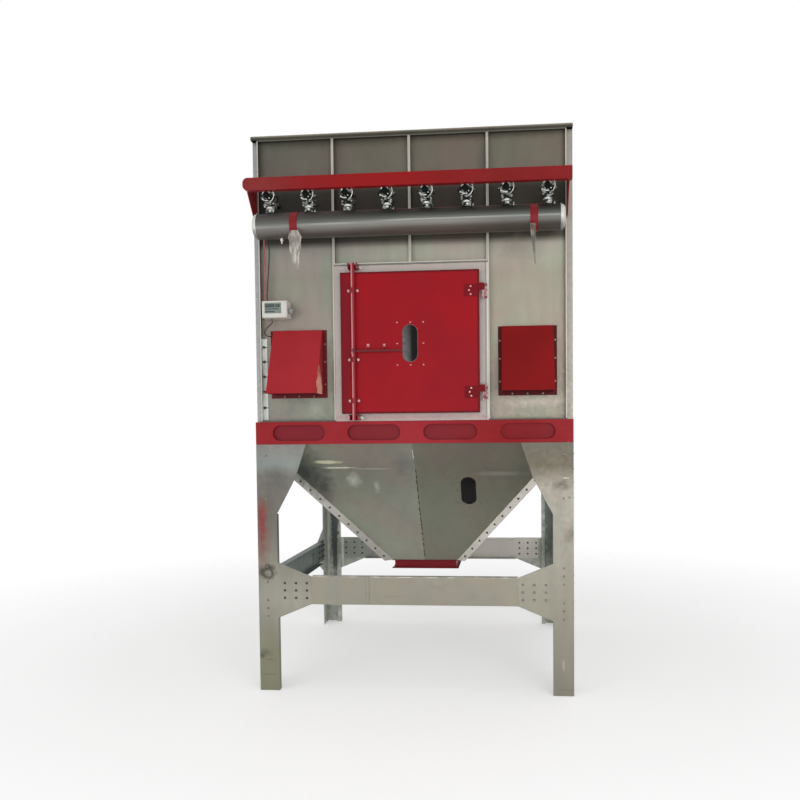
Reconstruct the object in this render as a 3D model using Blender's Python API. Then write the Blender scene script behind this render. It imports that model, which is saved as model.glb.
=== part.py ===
"""Baghouse dust collector: pan-panel housing on four folded legs, with a red
door, a lock rod, two inlet hoods, a compressed-air tank and eight pulse valves.
Metres, +Z up, ground at Z = 0, front faces -Y, origin under the middle of the box.
"""
import math

import bmesh
import bpy
from mathutils import Matrix, Vector

# Overall body
WIDTH = 2.000
DEPTH = 1.800
TOP_Z = 3.510
BELT_BOTTOM = 1.581
BELT_HEIGHT = 0.142
RAIL_REACH = 0.215
FIT = 0.0003
PIN_FIT = 0.0007
DOOR_CLEAR = 0.005

# Sheet sections
SHEET = 0.004
PAN_LIP = 0.008
LIP_THICK = 0.003
RIB = 0.038
BAYS = 4
ROOF_RIM = 0.024
BELT_DEPTH = 0.060
SLOT_LENGTH = 0.336
SLOT_HEIGHT = 0.098
SLOT_DEPTH = 0.022

# Legs and beams
LEG_PLATE = 0.005
LEG_WIDTH = 0.127
LEG_SIDE = 0.154
LEG_LIP = 0.040
LEG_RETURN = 0.030
HEAD_REACH = 0.324
HEAD_KNEE_REACH = 0.251
HEAD_KNEE_DROP = 0.214
HEAD_DROP = 0.446
ARM_REACH = 0.345
ARM_FLARE = 0.090
BEAM_TOP = 0.739
BEAM_BOTTOM = 0.560
BEAM_FLANGE = 0.050
SPLICE = 0.150

# Hopper
HOPPER_INSET = 0.040
OUTLET_HALF = 0.2375
OUTLET_Z = 0.736
OUTLET_RIM = 0.061
OUTLET_LIP = 0.030
OUTLET_GROOVE = 0.018
HIP_FLANGE = 0.044
SEAM_WIDTH = 0.003
SEAM_DEPTH = 0.002
HOPPER_WINDOW_X = 0.337
HOPPER_WINDOW_UP = 0.526

# Access door and its frame, heights above the belt
FRAME_HEIGHT = 0.977
FRAME_BAR = 0.076
DOOR_INSET_LEFT = 0.047
DOOR_INSET_RIGHT = 0.053
DOOR_UP = 0.046
DOOR_DOWN = 0.057
DOOR_THICK = 0.030
WINDOW_WIDTH = 0.095
WINDOW_HEIGHT = 0.230
WINDOW_UP = 0.477
GLASS_LAP = 0.012
GLASS_THICK = 0.005
HINGE_GAP = 0.024
HINGE_HEIGHT = 0.090
HINGE_FROM_BOTTOM = 0.126
HINGE_FROM_TOP = 0.128
KNUCKLE_R = 0.008
HINGE_PIN_R = 0.004
STRAP_LENGTH = 0.092
STRAP_HEIGHT = 0.072

# Lock rod
ROD_INSET = 0.082
ROD_R = 0.0135
ROD_STANDOFF = 0.0195
ROD_MARGIN = 0.005
GUIDE_FROM_BOTTOM = 0.080
GUIDE_FROM_TOP = 0.115
GUIDE_UNDER_HANDLE = 0.052
GUIDE_HEIGHT = 0.032
GUIDE_WALL = 0.004
GUIDE_WIDTH = 0.076
HANDLE_UP = 0.432
HANDLE_LENGTH = 0.290
HANDLE_BAR = 0.012
KEEPER_GAP = 0.023
KEEPER_WALL = 0.006
KEEPER_LENGTH = 0.034

# Inlet hoods, heights above the belt
HOOD_FLANGE_WIDTH = 0.362
HOOD_WIDTH = 0.316
HOOD_TOP_UP = 0.578
HOOD_BOTTOM_UP = 0.172
HOOD_FLANGE_UP = 0.150
HOOD_DEPTH = 0.195
HOOD_TOP_DEPTH = 0.026
HOOD_PORT_WIDTH = 0.260
HOOD_PORT_UP = 0.207
HOOD_PORT_HEIGHT = 0.310

# Air tank above the door frame, valves on the tank, rail above the valves
TANK_R = 0.076
TANK_WALL = 0.004
TANK_END_GAP = 0.044
TANK_DISH = 0.026
TANK_UP = 0.218
TANK_OUT = 0.112
STRAP_SHIFT = 0.16
STRAP_WIDTH = 0.046
STRAP_THICK = 0.004
VALVES_PER_BAY = 2
VALVE_RISE = 0.168
PORT_R = 0.021
BONNET_R = 0.042
RAIL_OVERHANG = 0.018
RAIL_RISE = 0.097
RAIL_HEIGHT = 0.075
RAIL_DEPTH = 0.040
RAIL_WALL = 0.003
RAIL_ROUND = 0.030
RAIL_BRACKET_HEIGHT = 0.233

# Controls
BOX_GAP = 0.032
BOX_WIDTH = 0.160
BOX_UP = 0.703
BOX_HEIGHT = 0.104
BOX_FRONT = 0.045
GLAND_DROP = 0.014
CONDUIT_R = 0.006
CONDUIT_GAP = 0.042
CONDUIT_RISE = 0.106

FRONT = -(DEPTH + RAIL_REACH) / 2 + RAIL_REACH
BACK = FRONT + DEPTH
MIDDLE = FRONT + DEPTH / 2
HALF = WIDTH / 2
SHEET_Y = FRONT + RIB
WALL_X = HALF - RIB
BAY_X = 2 * WALL_X / BAYS
BELT_TOP = BELT_BOTTOM + BELT_HEIGHT
ROOF_BASE = TOP_Z - ROOF_RIM
FRAME_TOP = BELT_TOP + FRAME_HEIGHT
DOOR_LEFT = -BAY_X + DOOR_INSET_LEFT
DOOR_RIGHT = BAY_X - DOOR_INSET_RIGHT
DOOR_BOTTOM = BELT_TOP + DOOR_UP
DOOR_TOP = FRAME_TOP - DOOR_DOWN
WINDOW_Z = BELT_TOP + WINDOW_UP
DOOR_BACK = FRONT - DOOR_CLEAR
DOOR_FACE = DOOR_BACK - DOOR_THICK
HINGE_X = DOOR_RIGHT + HINGE_GAP
HINGE_Y = DOOR_FACE + SHEET
ROD_X = DOOR_LEFT + ROD_INSET
ROD_Y = DOOR_FACE - ROD_STANDOFF
ROD_BOTTOM = BELT_TOP + ROD_MARGIN
ROD_TOP = FRAME_TOP - ROD_MARGIN
HANDLE_Z = BELT_TOP + HANDLE_UP
HOOD_TOP = BELT_TOP + HOOD_TOP_UP
HOOD_BOTTOM = BELT_TOP + HOOD_BOTTOM_UP
HOOD_X = WALL_X - BAY_X / 2
TANK_HALF = WALL_X - TANK_END_GAP
TANK_Y = FRONT - TANK_OUT
TANK_Z = FRAME_TOP + TANK_UP
VALVES = BAYS * VALVES_PER_BAY
VALVE_PITCH = BAY_X / VALVES_PER_BAY
VALVE_Z = TANK_Z + VALVE_RISE
STRAP_X = (STRAP_SHIFT * VALVE_PITCH - HOOD_X, STRAP_SHIFT * VALVE_PITCH + HOOD_X)
RAIL_HALF = WALL_X + RAIL_OVERHANG
RAIL_Y = FRONT - RAIL_REACH
RAIL_BOTTOM = VALVE_Z + RAIL_RISE - RAIL_HEIGHT
RAIL_TOP = RAIL_BOTTOM + RAIL_HEIGHT
BOX_X = -WALL_X + BOX_GAP + BOX_WIDTH / 2
BOX_Z = BELT_TOP + BOX_UP
CONDUIT_X = -WALL_X + CONDUIT_GAP
CONDUIT_Z = TANK_Z + CONDUIT_RISE

MATERIALS = {
    "galvanised_sheet": ((0.42, 0.42, 0.39), 0.45, 0.85),
    "galvanised_frame": ((0.30, 0.31, 0.29), 0.50, 0.80),
    "red_paint": ((0.36, 0.02, 0.025), 0.38, 0.0),
    "zinc_fittings": ((0.55, 0.55, 0.54), 0.35, 0.9),
    "cast_alloy": ((0.52, 0.53, 0.52), 0.42, 0.9),
    "window_glass": ((0.03, 0.035, 0.035), 0.08, 0.0),
    "control_plastic": ((0.78, 0.79, 0.78), 0.45, 0.0),
    "conduit_plastic": ((0.42, 0.16, 0.15), 0.55, 0.0),
}


def clear_scene():
    for old in list(bpy.data.objects):
        bpy.data.objects.remove(old, do_unlink=True)


def new_collection(name):
    made = bpy.data.collections.new(name)
    bpy.context.scene.collection.children.link(made)
    return made


def make_materials():
    made = {}
    for name, (color, rough, metal) in MATERIALS.items():
        mat = bpy.data.materials.new(name)
        mat.use_nodes = True
        shader = mat.node_tree.nodes["Principled BSDF"]
        shader.inputs["Base Color"].default_value = (*color, 1.0)
        shader.inputs["Roughness"].default_value = rough
        shader.inputs["Metallic"].default_value = metal
        made[name] = mat
    return made


clear_scene()
PART = new_collection("baghouse_dust_collector")
TOOLS = new_collection("cutting_tools")
MATS = make_materials()


def place(bm, name, material, where=PART):
    """Turn a bmesh into an object, faces pointing out."""
    bmesh.ops.recalc_face_normals(bm, faces=bm.faces)
    mesh = bpy.data.meshes.new(name)
    bm.to_mesh(mesh)
    bm.free()
    made = bpy.data.objects.new(name, mesh)
    where.objects.link(made)
    if material:
        mesh.materials.append(MATS[material])
    return made


def box_mesh(low, high):
    bm = bmesh.new()
    size = [high[i] - low[i] for i in range(3)]
    middle = [(high[i] + low[i]) / 2 for i in range(3)]
    shape = Matrix.Translation(middle) @ Matrix.Diagonal((*size, 1.0))
    bmesh.ops.create_cube(bm, size=1.0, matrix=shape)
    return bm


def profile_mesh(outline, plane, start, end):
    """Extrude a closed outline. plane is the axis that it is extruded along."""
    spots = {"x": lambda u, v: (start, u, v), "y": lambda u, v: (u, start, v),
             "z": lambda u, v: (u, v, start)}
    bm = bmesh.new()
    face = bm.faces.new([bm.verts.new(spots[plane](u, v)) for u, v in outline])
    run = {"x": (end - start, 0, 0), "y": (0, end - start, 0), "z": (0, 0, end - start)}[plane]
    made = bmesh.ops.extrude_face_region(bm, geom=[face])
    moved = [item for item in made["geom"] if isinstance(item, bmesh.types.BMVert)]
    bmesh.ops.translate(bm, vec=run, verts=moved)
    return bm


def cylinder_mesh(centre, axis, radius, length, sides=32, radius_end=None):
    bm = bmesh.new()
    turn = Vector(axis).to_track_quat("Z", "Y").to_matrix().to_4x4()
    tip = radius if radius_end is None else radius_end
    bmesh.ops.create_cone(bm, cap_ends=True, segments=sides, radius1=radius, radius2=tip,
                          depth=length, matrix=Matrix.Translation(centre) @ turn)
    return bm


def box(name, material, low, high, where=PART):
    return place(box_mesh(low, high), name, material, where)


def combine(target, tools, operation):
    """Apply one exact Boolean per tool, then drop the tools."""
    for tool in tools:
        step = target.modifiers.new("combine", "BOOLEAN")
        step.operation = operation
        step.solver = "EXACT"
        step.object = tool
        graph = bpy.context.evaluated_depsgraph_get()
        fresh = bpy.data.meshes.new_from_object(target.evaluated_get(graph))
        target.modifiers.clear()
        target.data = fresh
        bpy.data.objects.remove(tool, do_unlink=True)
    return target


def tool(bm):
    made = place(bm, "cutting_tool", None, TOOLS)
    made.hide_render = True
    made.display_type = "WIRE"
    return made


def tool_box(low, high):
    return tool(box_mesh(low, high))


def cut(target, *tools):
    return combine(target, tools, "DIFFERENCE")


def weld(target, *tools):
    return combine(target, tools, "UNION")


def oval(centre_u, centre_v, width, height, steps=10):
    """Outline of a slot with two round ends, long along the larger side."""
    radius = min(width, height) / 2
    reach_u = width / 2 - radius
    reach_v = height / 2 - radius
    if reach_u >= reach_v:
        ends = [(centre_u + reach_u, centre_v, -90), (centre_u - reach_u, centre_v, 90)]
    else:
        ends = [(centre_u, centre_v + reach_v, 0), (centre_u, centre_v - reach_v, 180)]
    points = []
    for u, v, first in ends:
        for step in range(steps + 1):
            turn = math.radians(first + 180 * step / steps)
            points.append((u + radius * math.cos(turn), v + radius * math.sin(turn)))
    return points


def mirrored(source, name, across_x=None, across_y=None):
    """Copy a finished piece to the other side of the object."""
    made = source.copy()
    made.data = source.data.copy()
    made.name = name
    flip = Matrix.Identity(4)
    if across_x is not None:
        flip = Matrix.Translation((2 * across_x, 0, 0)) @ Matrix.Scale(-1, 4, (1, 0, 0)) @ flip
    if across_y is not None:
        flip = Matrix.Translation((0, 2 * across_y, 0)) @ Matrix.Scale(-1, 4, (0, 1, 0)) @ flip
    bm = bmesh.new()
    bm.from_mesh(made.data)
    bmesh.ops.transform(bm, matrix=flip, verts=bm.verts)
    bmesh.ops.recalc_face_normals(bm, faces=bm.faces)
    bm.to_mesh(made.data)
    bm.free()
    PART.objects.link(made)
    return made


# Housing walls: pans whose flanges turn out and end in a lip
def pan_hollow(x_low, x_high, z_low, z_high):
    """Cutter for the outside of one front pan: the room behind the lips, and the mouth between them."""
    room = tool_box((x_low + SHEET, FRONT + LIP_THICK, z_low + SHEET),
                    (x_high - SHEET, SHEET_Y, z_high - SHEET))
    mouth = tool_box((x_low + PAN_LIP, FRONT - SHEET, z_low + PAN_LIP),
                     (x_high - PAN_LIP, FRONT + RIB / 2, z_high - PAN_LIP))
    return weld(room, mouth)


def front_pan(name, x_low, x_high, z_low, z_high):
    pan = box(name, "galvanised_sheet", (x_low + FIT, FRONT, z_low + FIT),
              (x_high - FIT, SHEET_Y + SHEET, z_high - FIT))
    return cut(pan, pan_hollow(x_low, x_high, z_low, z_high))


def build_front():
    pans = []
    for name, column, z_low in (("front_panel_left", 0, BELT_TOP),
                                ("upper_panel_left", 1, FRAME_TOP),
                                ("upper_panel_right", 2, FRAME_TOP),
                                ("front_panel_right", 3, BELT_TOP)):
        x_low = -WALL_X + BAY_X * column
        pans.append(front_pan(name, x_low, x_low + BAY_X, z_low, ROOF_BASE))
    port_low = BELT_TOP + HOOD_PORT_UP
    for pan, port_x in ((pans[0], -HOOD_X), (pans[3], HOOD_X)):
        cut(pan, tool_box((port_x - HOOD_PORT_WIDTH / 2, FRONT, port_low),
                          (port_x + HOOD_PORT_WIDTH / 2, SHEET_Y + RIB, port_low + HOOD_PORT_HEIGHT)))


def ribbed_wall(name, reach):
    """Wall of BAYS pans in one piece along the front plane, reach to each side of X = 0."""
    wall = box(name, "galvanised_sheet", (-reach + FIT, FRONT, BELT_TOP + FIT),
               (reach - FIT, SHEET_Y + SHEET, ROOF_BASE - FIT))
    bay = 2 * reach / BAYS
    hollows = [pan_hollow(-reach + bay * i, -reach + bay * (i + 1), BELT_TOP, ROOF_BASE)
               for i in range(BAYS)]
    return cut(wall, *hollows)


def build_back():
    wall = ribbed_wall("back_wall", WALL_X)
    turned(wall, "back_wall", math.pi)


def build_sides():
    """The side walls stand between the front and back walls."""
    wall = ribbed_wall("left_wall", DEPTH / 2 - RIB)
    outer = RIB + FIT
    reach = DEPTH / 2 - outer
    for side in (-1, 1):
        cut(wall, tool_box((min(side * reach, side * HALF), SHEET_Y - FIT, BELT_TOP - SHEET),
                           (max(side * reach, side * HALF), SHEET_Y + RIB, TOP_Z)))
        inner = reach - SHEET
        cut(wall, tool_box((min(side * inner, side * HALF), SHEET_Y - FIT, BELT_TOP - SHEET),
                           (max(side * inner, side * HALF), SHEET_Y + RIB, TOP_Z)))
    turned(wall, "left_wall", math.radians(-90))
    wall.data.transform(Matrix.Translation((DEPTH / 2 - HALF, 0, 0)))
    mirrored(wall, "right_wall", across_x=0.0)


def build_roof():
    roof = box("roof", "galvanised_sheet", (-HALF, FRONT, ROOF_BASE), (HALF, BACK, TOP_Z))
    cut(roof, tool_box((-HALF + SHEET, FRONT + SHEET, ROOF_BASE - SHEET),
                       (HALF - SHEET, BACK - SHEET, TOP_Z - SHEET)))


# Belt: a ring of channels with pressed slots
def belt_side(name, start, end, centres):
    """Channel along X, its web at FRONT, flanges turned in."""
    side = box(name, "red_paint", (start, FRONT, BELT_BOTTOM), (end, FRONT + BELT_DEPTH, BELT_TOP))
    cut(side, tool_box((start + SHEET, FRONT + SHEET, BELT_BOTTOM + SHEET),
                       (end - SHEET, FRONT + BELT_DEPTH + SHEET, BELT_TOP - SHEET)))
    level = (BELT_BOTTOM + BELT_TOP) / 2
    for centre in centres:
        outside = oval(centre, level, SLOT_LENGTH + 2 * SHEET, SLOT_HEIGHT + 2 * SHEET)
        inside = oval(centre, level, SLOT_LENGTH, SLOT_HEIGHT)
        weld(side, tool(profile_mesh(outside, "y", FRONT + SHEET / 2,
                                     FRONT + SLOT_DEPTH + SHEET)))
        cut(side, tool(profile_mesh(inside, "y", FRONT - SHEET, FRONT + SLOT_DEPTH)))
    return side


def turned(source, name, angle):
    """Swing a finished front piece about the upright centre line to another side."""
    swing = Matrix.Translation((0, MIDDLE, 0)) @ Matrix.Rotation(angle, 4, "Z")
    source.data.transform(swing @ Matrix.Translation((0, -MIDDLE, 0)))
    source.name = name
    source.data.name = name
    return source


def build_belt():
    columns = [-WALL_X + BAY_X * (bay + 0.5) for bay in range(BAYS)]
    front = belt_side("front_belt", -HALF, HALF, columns)
    mirrored(front, "back_belt", across_y=MIDDLE)
    reach = DEPTH / 2 - BELT_DEPTH - FIT
    side = belt_side("left_belt", -reach, reach, [])
    turned(side, "left_belt", math.radians(-90))
    side.data.transform(Matrix.Translation((DEPTH / 2 - HALF, 0, 0)))
    mirrored(side, "right_belt", across_x=0.0)


# Legs, beams
def leg_outline(edge, inward, width, top_flare):
    """Front view of one leg plate. edge is its outer side, inward is +1 or -1."""
    knee = BELT_BOTTOM - HEAD_KNEE_DROP
    shape = [(0, 0), (width, 0), (width, BEAM_BOTTOM - ARM_FLARE), (ARM_REACH, BEAM_BOTTOM),
             (ARM_REACH, BEAM_TOP), (width, BEAM_TOP + top_flare),
             (width, BELT_BOTTOM - HEAD_DROP), (HEAD_KNEE_REACH, knee),
             (HEAD_REACH, BELT_BOTTOM - FIT), (0, BELT_BOTTOM - FIT)]
    return [(edge + inward * u, v) for u, v in shape]


def left_leg(name, top_flare):
    """Folded section: face, side, and a lip with its return along the face's inner edge."""
    face = leg_outline(-HALF, 1, LEG_WIDTH, top_flare)
    leg = place(profile_mesh(face, "y", FRONT, FRONT + LEG_PLATE), name, "galvanised_frame")
    weld(leg, tool(profile_mesh(leg_outline(FRONT, 1, LEG_SIDE, ARM_FLARE), "x", -HALF, -HALF + LEG_PLATE)))
    lip_x = -HALF + LEG_WIDTH
    top = BELT_BOTTOM - HEAD_DROP
    lip = tool_box((lip_x - LEG_PLATE, FRONT + LEG_PLATE / 2, 0.0), (lip_x, FRONT + LEG_LIP, top))
    back = tool_box((lip_x - LEG_RETURN, FRONT + LEG_LIP - LEG_PLATE, 0.0), (lip_x, FRONT + LEG_LIP, top))
    return weld(leg, weld(lip, back))


def build_legs():
    front = left_leg("front_left_leg", ARM_FLARE)
    mirrored(front, "front_right_leg", across_x=0.0)
    pattern = left_leg("rear_leg_pattern", 0.0)
    mirrored(pattern, "rear_left_leg", across_y=MIDDLE)
    mirrored(pattern, "rear_right_leg", across_x=0.0, across_y=MIDDLE)
    bpy.data.objects.remove(pattern, do_unlink=True)


def beam(name, frame_half):
    """Channel flush with the arms of two legs, with a splice plate behind each arm."""
    reach = frame_half - ARM_REACH - FIT
    made = box(name, "galvanised_frame", (-reach, FRONT, BEAM_BOTTOM),
               (reach, FRONT + BEAM_FLANGE, BEAM_TOP))
    cut(made, tool_box((-HALF, FRONT + LEG_PLATE, BEAM_BOTTOM + LEG_PLATE),
                       (HALF, FRONT + 2 * BEAM_FLANGE, BEAM_TOP - LEG_PLATE)))
    low, high = BEAM_BOTTOM + LEG_PLATE / 2, BEAM_TOP - LEG_PLATE / 2
    for side in (-1, 1):
        near, far = side * (reach - SPLICE), side * (frame_half - LEG_SIDE - FIT)
        start, seam = side * (reach - SPLICE + LEG_PLATE), side * (reach - LEG_PLATE)
        plate = tool_box((min(near, far), FRONT + LEG_PLATE + FIT, low),
                         (max(near, far), FRONT + 2 * LEG_PLATE, high))
        root = tool_box((min(start, seam), FRONT + LEG_PLATE / 2, low + LEG_PLATE),
                        (max(start, seam), FRONT + 1.5 * LEG_PLATE, high - LEG_PLATE))
        weld(plate, root)
        weld(made, plate)
    return made


def build_beams():
    front = beam("front_beam", HALF)
    mirrored(front, "rear_beam", across_y=MIDDLE)
    side = beam("left_beam", DEPTH / 2)
    turned(side, "left_beam", math.radians(-90))
    side.data.transform(Matrix.Translation((DEPTH / 2 - HALF, 0, 0)))
    mirrored(side, "right_beam", across_x=0.0)


# Hopper: four sloping plates mitred along the hips, each with bolting flanges there
HOPPER_TOP = BELT_BOTTOM - FIT
HOPPER_RISE = HOPPER_TOP - OUTLET_Z
RUN_X = HALF - HOPPER_INSET - OUTLET_HALF
RUN_Y = DEPTH / 2 - HOPPER_INSET - OUTLET_HALF


def outward(axis, side):
    """Outward normal of the plate on that side of axis 0 (X) or 1 (Y)."""
    run = RUN_X if axis == 0 else RUN_Y
    normal = Vector((0, 0, -run))
    normal[axis] = side * HOPPER_RISE
    return normal.normalized()


def hip_frame(side_x, side_y):
    """Matrix at a hip's top: X down the hip, Y out of the corner, Z towards the front or back plate."""
    down = Vector((-side_x * RUN_X, -side_y * RUN_Y, -HOPPER_RISE)).normalized()
    out = (outward(0, side_x) + outward(1, side_y)).normalized()
    facing = down.cross(out)
    if facing.y * side_y < 0:
        facing.negate()
    top = Vector((side_x * (OUTLET_HALF + RUN_X), MIDDLE + side_y * (OUTLET_HALF + RUN_Y), HOPPER_TOP))
    return Matrix.Translation(top) @ Matrix((down, out, facing)).transposed().to_4x4()


def slope_plate(name, axis, side):
    """Plate with its outer face through the two hips, cut off at the mitre planes."""
    across = RUN_Y if axis == 0 else RUN_X
    run = RUN_X if axis == 0 else RUN_Y
    bm = bmesh.new()
    corners = []
    for part, z, out in ((-1, HOPPER_TOP, run), (1, HOPPER_TOP, run), (1, OUTLET_Z, 0), (-1, OUTLET_Z, 0)):
        along = part * (OUTLET_HALF + (across if out else 0) + 2 * SHEET)
        away = side * (OUTLET_HALF + out)
        spot = (away, MIDDLE + along, z) if axis == 0 else (along, MIDDLE + away, z)
        corners.append(bm.verts.new(spot))
    made = bmesh.ops.extrude_face_region(bm, geom=[bm.faces.new(corners)])
    moved = [item for item in made["geom"] if isinstance(item, bmesh.types.BMVert)]
    bmesh.ops.translate(bm, vec=-outward(axis, side) * SHEET, verts=moved)
    plate = place(bm, name, "galvanised_sheet")
    hips = [(side, -1), (side, 1)] if axis == 0 else [(-1, side), (1, side)]
    keep = -1 if axis == 0 else 1
    for hip in hips:
        span = 2 * WIDTH
        half_space = box_mesh((-span, -span, -span), (span, span, FIT / 2 * keep))
        if keep < 0:
            half_space = box_mesh((-span, -span, -FIT / 2), (span, span, span))
        bmesh.ops.transform(half_space, matrix=hip_frame(*hip), verts=half_space.verts)
        cut(plate, tool(half_space))
    length = math.sqrt(RUN_X ** 2 + RUN_Y ** 2 + HOPPER_RISE ** 2)
    for hip in hips:
        low, high = sorted((keep * FIT / 2, keep * (SHEET + FIT / 2)))
        flange = box_mesh((-SHEET, -SHEET * 0.7, low), (length + SHEET, HIP_FLANGE, high))
        bmesh.ops.transform(flange, matrix=hip_frame(*hip), verts=flange.verts)
        weld(plate, tool(flange))
    trim_low = tool_box((-WIDTH, FRONT - HALF, OUTLET_Z - HALF), (WIDTH, BACK + HALF, OUTLET_Z))
    trim_top = tool_box((-WIDTH, FRONT - HALF, HOPPER_TOP), (WIDTH, BACK + HALF, TOP_Z))
    return cut(plate, trim_low, trim_top)


def on_front_slope(bm, x, z):
    """Move a mesh drawn in the XZ plane onto the outer face of the front plate."""
    out = MIDDLE - OUTLET_HALF - RUN_Y * (z - OUTLET_Z) / HOPPER_RISE
    tilt = Matrix.Rotation(math.atan2(RUN_Y, HOPPER_RISE), 4, "X")
    bmesh.ops.transform(bm, matrix=Matrix.Translation((x, out, z)) @ tilt, verts=bm.verts)
    return bm


def build_hopper():
    front = slope_plate("front_hopper_plate", 1, -1)
    mirrored(front, "rear_hopper_plate", across_y=MIDDLE)
    side = slope_plate("left_hopper_plate", 0, -1)
    mirrored(side, "right_hopper_plate", across_x=0.0)

    window_z = OUTLET_Z + HOPPER_WINDOW_UP
    hole = profile_mesh(oval(0, 0, WINDOW_WIDTH, WINDOW_HEIGHT), "y", -RIB, RIB)
    cut(front, tool(on_front_slope(hole, HOPPER_WINDOW_X, window_z)))
    seam = box_mesh((-SEAM_WIDTH / 2, -SEAM_DEPTH, -WIDTH), (SEAM_WIDTH / 2, SEAM_DEPTH, WIDTH))
    cut(front, tool(on_front_slope(seam, 0.0, window_z)))
    lapped = oval(0, 0, WINDOW_WIDTH + 2 * GLASS_LAP, WINDOW_HEIGHT + 2 * GLASS_LAP)
    pane = profile_mesh(lapped, "y", SHEET + FIT, SHEET + FIT + GLASS_THICK)
    place(on_front_slope(pane, HOPPER_WINDOW_X, window_z), "hopper_window_glass", "window_glass")

    rim_half = OUTLET_HALF + SHEET / 2
    low, high = OUTLET_Z - OUTLET_RIM, OUTLET_Z - FIT
    rim = box("discharge_flange", "red_paint", (-rim_half, MIDDLE - rim_half, low),
              (rim_half, MIDDLE + rim_half, high))
    mouth = OUTLET_HALF - OUTLET_LIP
    neck = rim_half - OUTLET_GROOVE
    groove = tool_box((-HALF, MIDDLE - HALF, low + SHEET), (HALF, MIDDLE + HALF, high - SHEET))
    core = tool_box((-neck, MIDDLE - neck, low), (neck, MIDDLE + neck, high))
    cut(rim, cut(groove, core), tool_box((-mouth, MIDDLE - mouth, low - OUTLET_RIM),
                                         (mouth, MIDDLE + mouth, high + OUTLET_RIM)))


# Door frame, door, window
def build_door():
    side = BAY_X - FIT
    frame = box("door_frame", "galvanised_sheet", (-side, FRONT, BELT_TOP + FIT),
                (side, SHEET_Y + SHEET, FRAME_TOP - FIT))
    open_low = (-side + FRAME_BAR, FRONT - SHEET, BELT_TOP + FRAME_BAR)
    open_high = (side - FRAME_BAR, SHEET_Y + RIB, FRAME_TOP - FRAME_BAR)
    ring = tool_box((-side + SHEET, FRONT + SHEET, BELT_TOP + SHEET),
                    (side - SHEET, SHEET_Y + RIB, FRAME_TOP - SHEET))
    core = tool_box((open_low[0] - SHEET, FRONT, open_low[2] - SHEET),
                    (open_high[0] + SHEET, SHEET_Y + 2 * RIB, open_high[2] + SHEET))
    cut(frame, cut(ring, core))
    cut(frame, tool_box(open_low, open_high))

    leaf = box("door_leaf", "red_paint", (DOOR_LEFT, DOOR_FACE, DOOR_BOTTOM),
               (DOOR_RIGHT, DOOR_BACK, DOOR_TOP))
    cut(leaf, tool_box((DOOR_LEFT + SHEET, DOOR_FACE + SHEET, DOOR_BOTTOM + SHEET),
                       (DOOR_RIGHT - SHEET, DOOR_BACK + SHEET, DOOR_TOP - SHEET)))
    hole = oval(0.0, WINDOW_Z, WINDOW_WIDTH, WINDOW_HEIGHT)
    cut(leaf, tool(profile_mesh(hole, "y", DOOR_FACE - SHEET, DOOR_FACE + 2 * SHEET)))
    pane = oval(0.0, WINDOW_Z, WINDOW_WIDTH + 2 * GLASS_LAP, WINDOW_HEIGHT + 2 * GLASS_LAP)
    start = DOOR_FACE + SHEET + FIT
    place(profile_mesh(pane, "y", start, start + GLASS_THICK), "door_window_glass", "window_glass")


def build_hinges():
    for word, level in (("lower", DOOR_BOTTOM + HINGE_FROM_BOTTOM), ("upper", DOOR_TOP - HINGE_FROM_TOP)):
        half = HINGE_HEIGHT / 2
        plate_front = DOOR_FACE - SHEET - FIT
        knuckle = place(cylinder_mesh((HINGE_X, HINGE_Y, level + half / 2), (0, 0, 1), KNUCKLE_R,
                                      half - 2 * FIT, 24),
                        word + "_hinge_door_strap", "red_paint")
        strap = tool_box((DOOR_RIGHT - STRAP_LENGTH, plate_front, level - STRAP_HEIGHT / 2),
                         (DOOR_RIGHT - SHEET, DOOR_FACE - FIT, level + STRAP_HEIGHT / 2))
        tongue = tool_box((DOOR_RIGHT - 2 * SHEET, plate_front, level + 2 * FIT),
                          (HINGE_X, DOOR_FACE - FIT, level + half - 2 * FIT))
        weld(knuckle, weld(strap, tongue))
        cut(knuckle, tool(cylinder_mesh((HINGE_X, HINGE_Y, level), (0, 0, 1),
                                        HINGE_PIN_R + PIN_FIT, 2 * HINGE_HEIGHT, 24)))
        post = place(cylinder_mesh((HINGE_X, HINGE_Y, level - half / 2), (0, 0, 1), KNUCKLE_R,
                                   half - 2 * FIT, 24), word + "_hinge_frame_post", "zinc_fittings")
        web = tool_box((HINGE_X, HINGE_Y, level - half + 2 * FIT),
                       (HINGE_X + KNUCKLE_R, FRONT - FIT, level - 2 * FIT))
        plate = tool_box((HINGE_X - KNUCKLE_R, FRONT - SHEET, level - half + FIT),
                         (BAY_X - SHEET, FRONT - FIT, level + half))
        pin = tool(cylinder_mesh((HINGE_X, HINGE_Y, level), (0, 0, 1), HINGE_PIN_R,
                                 HINGE_HEIGHT, 24))
        weld(post, web, plate, pin)


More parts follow.
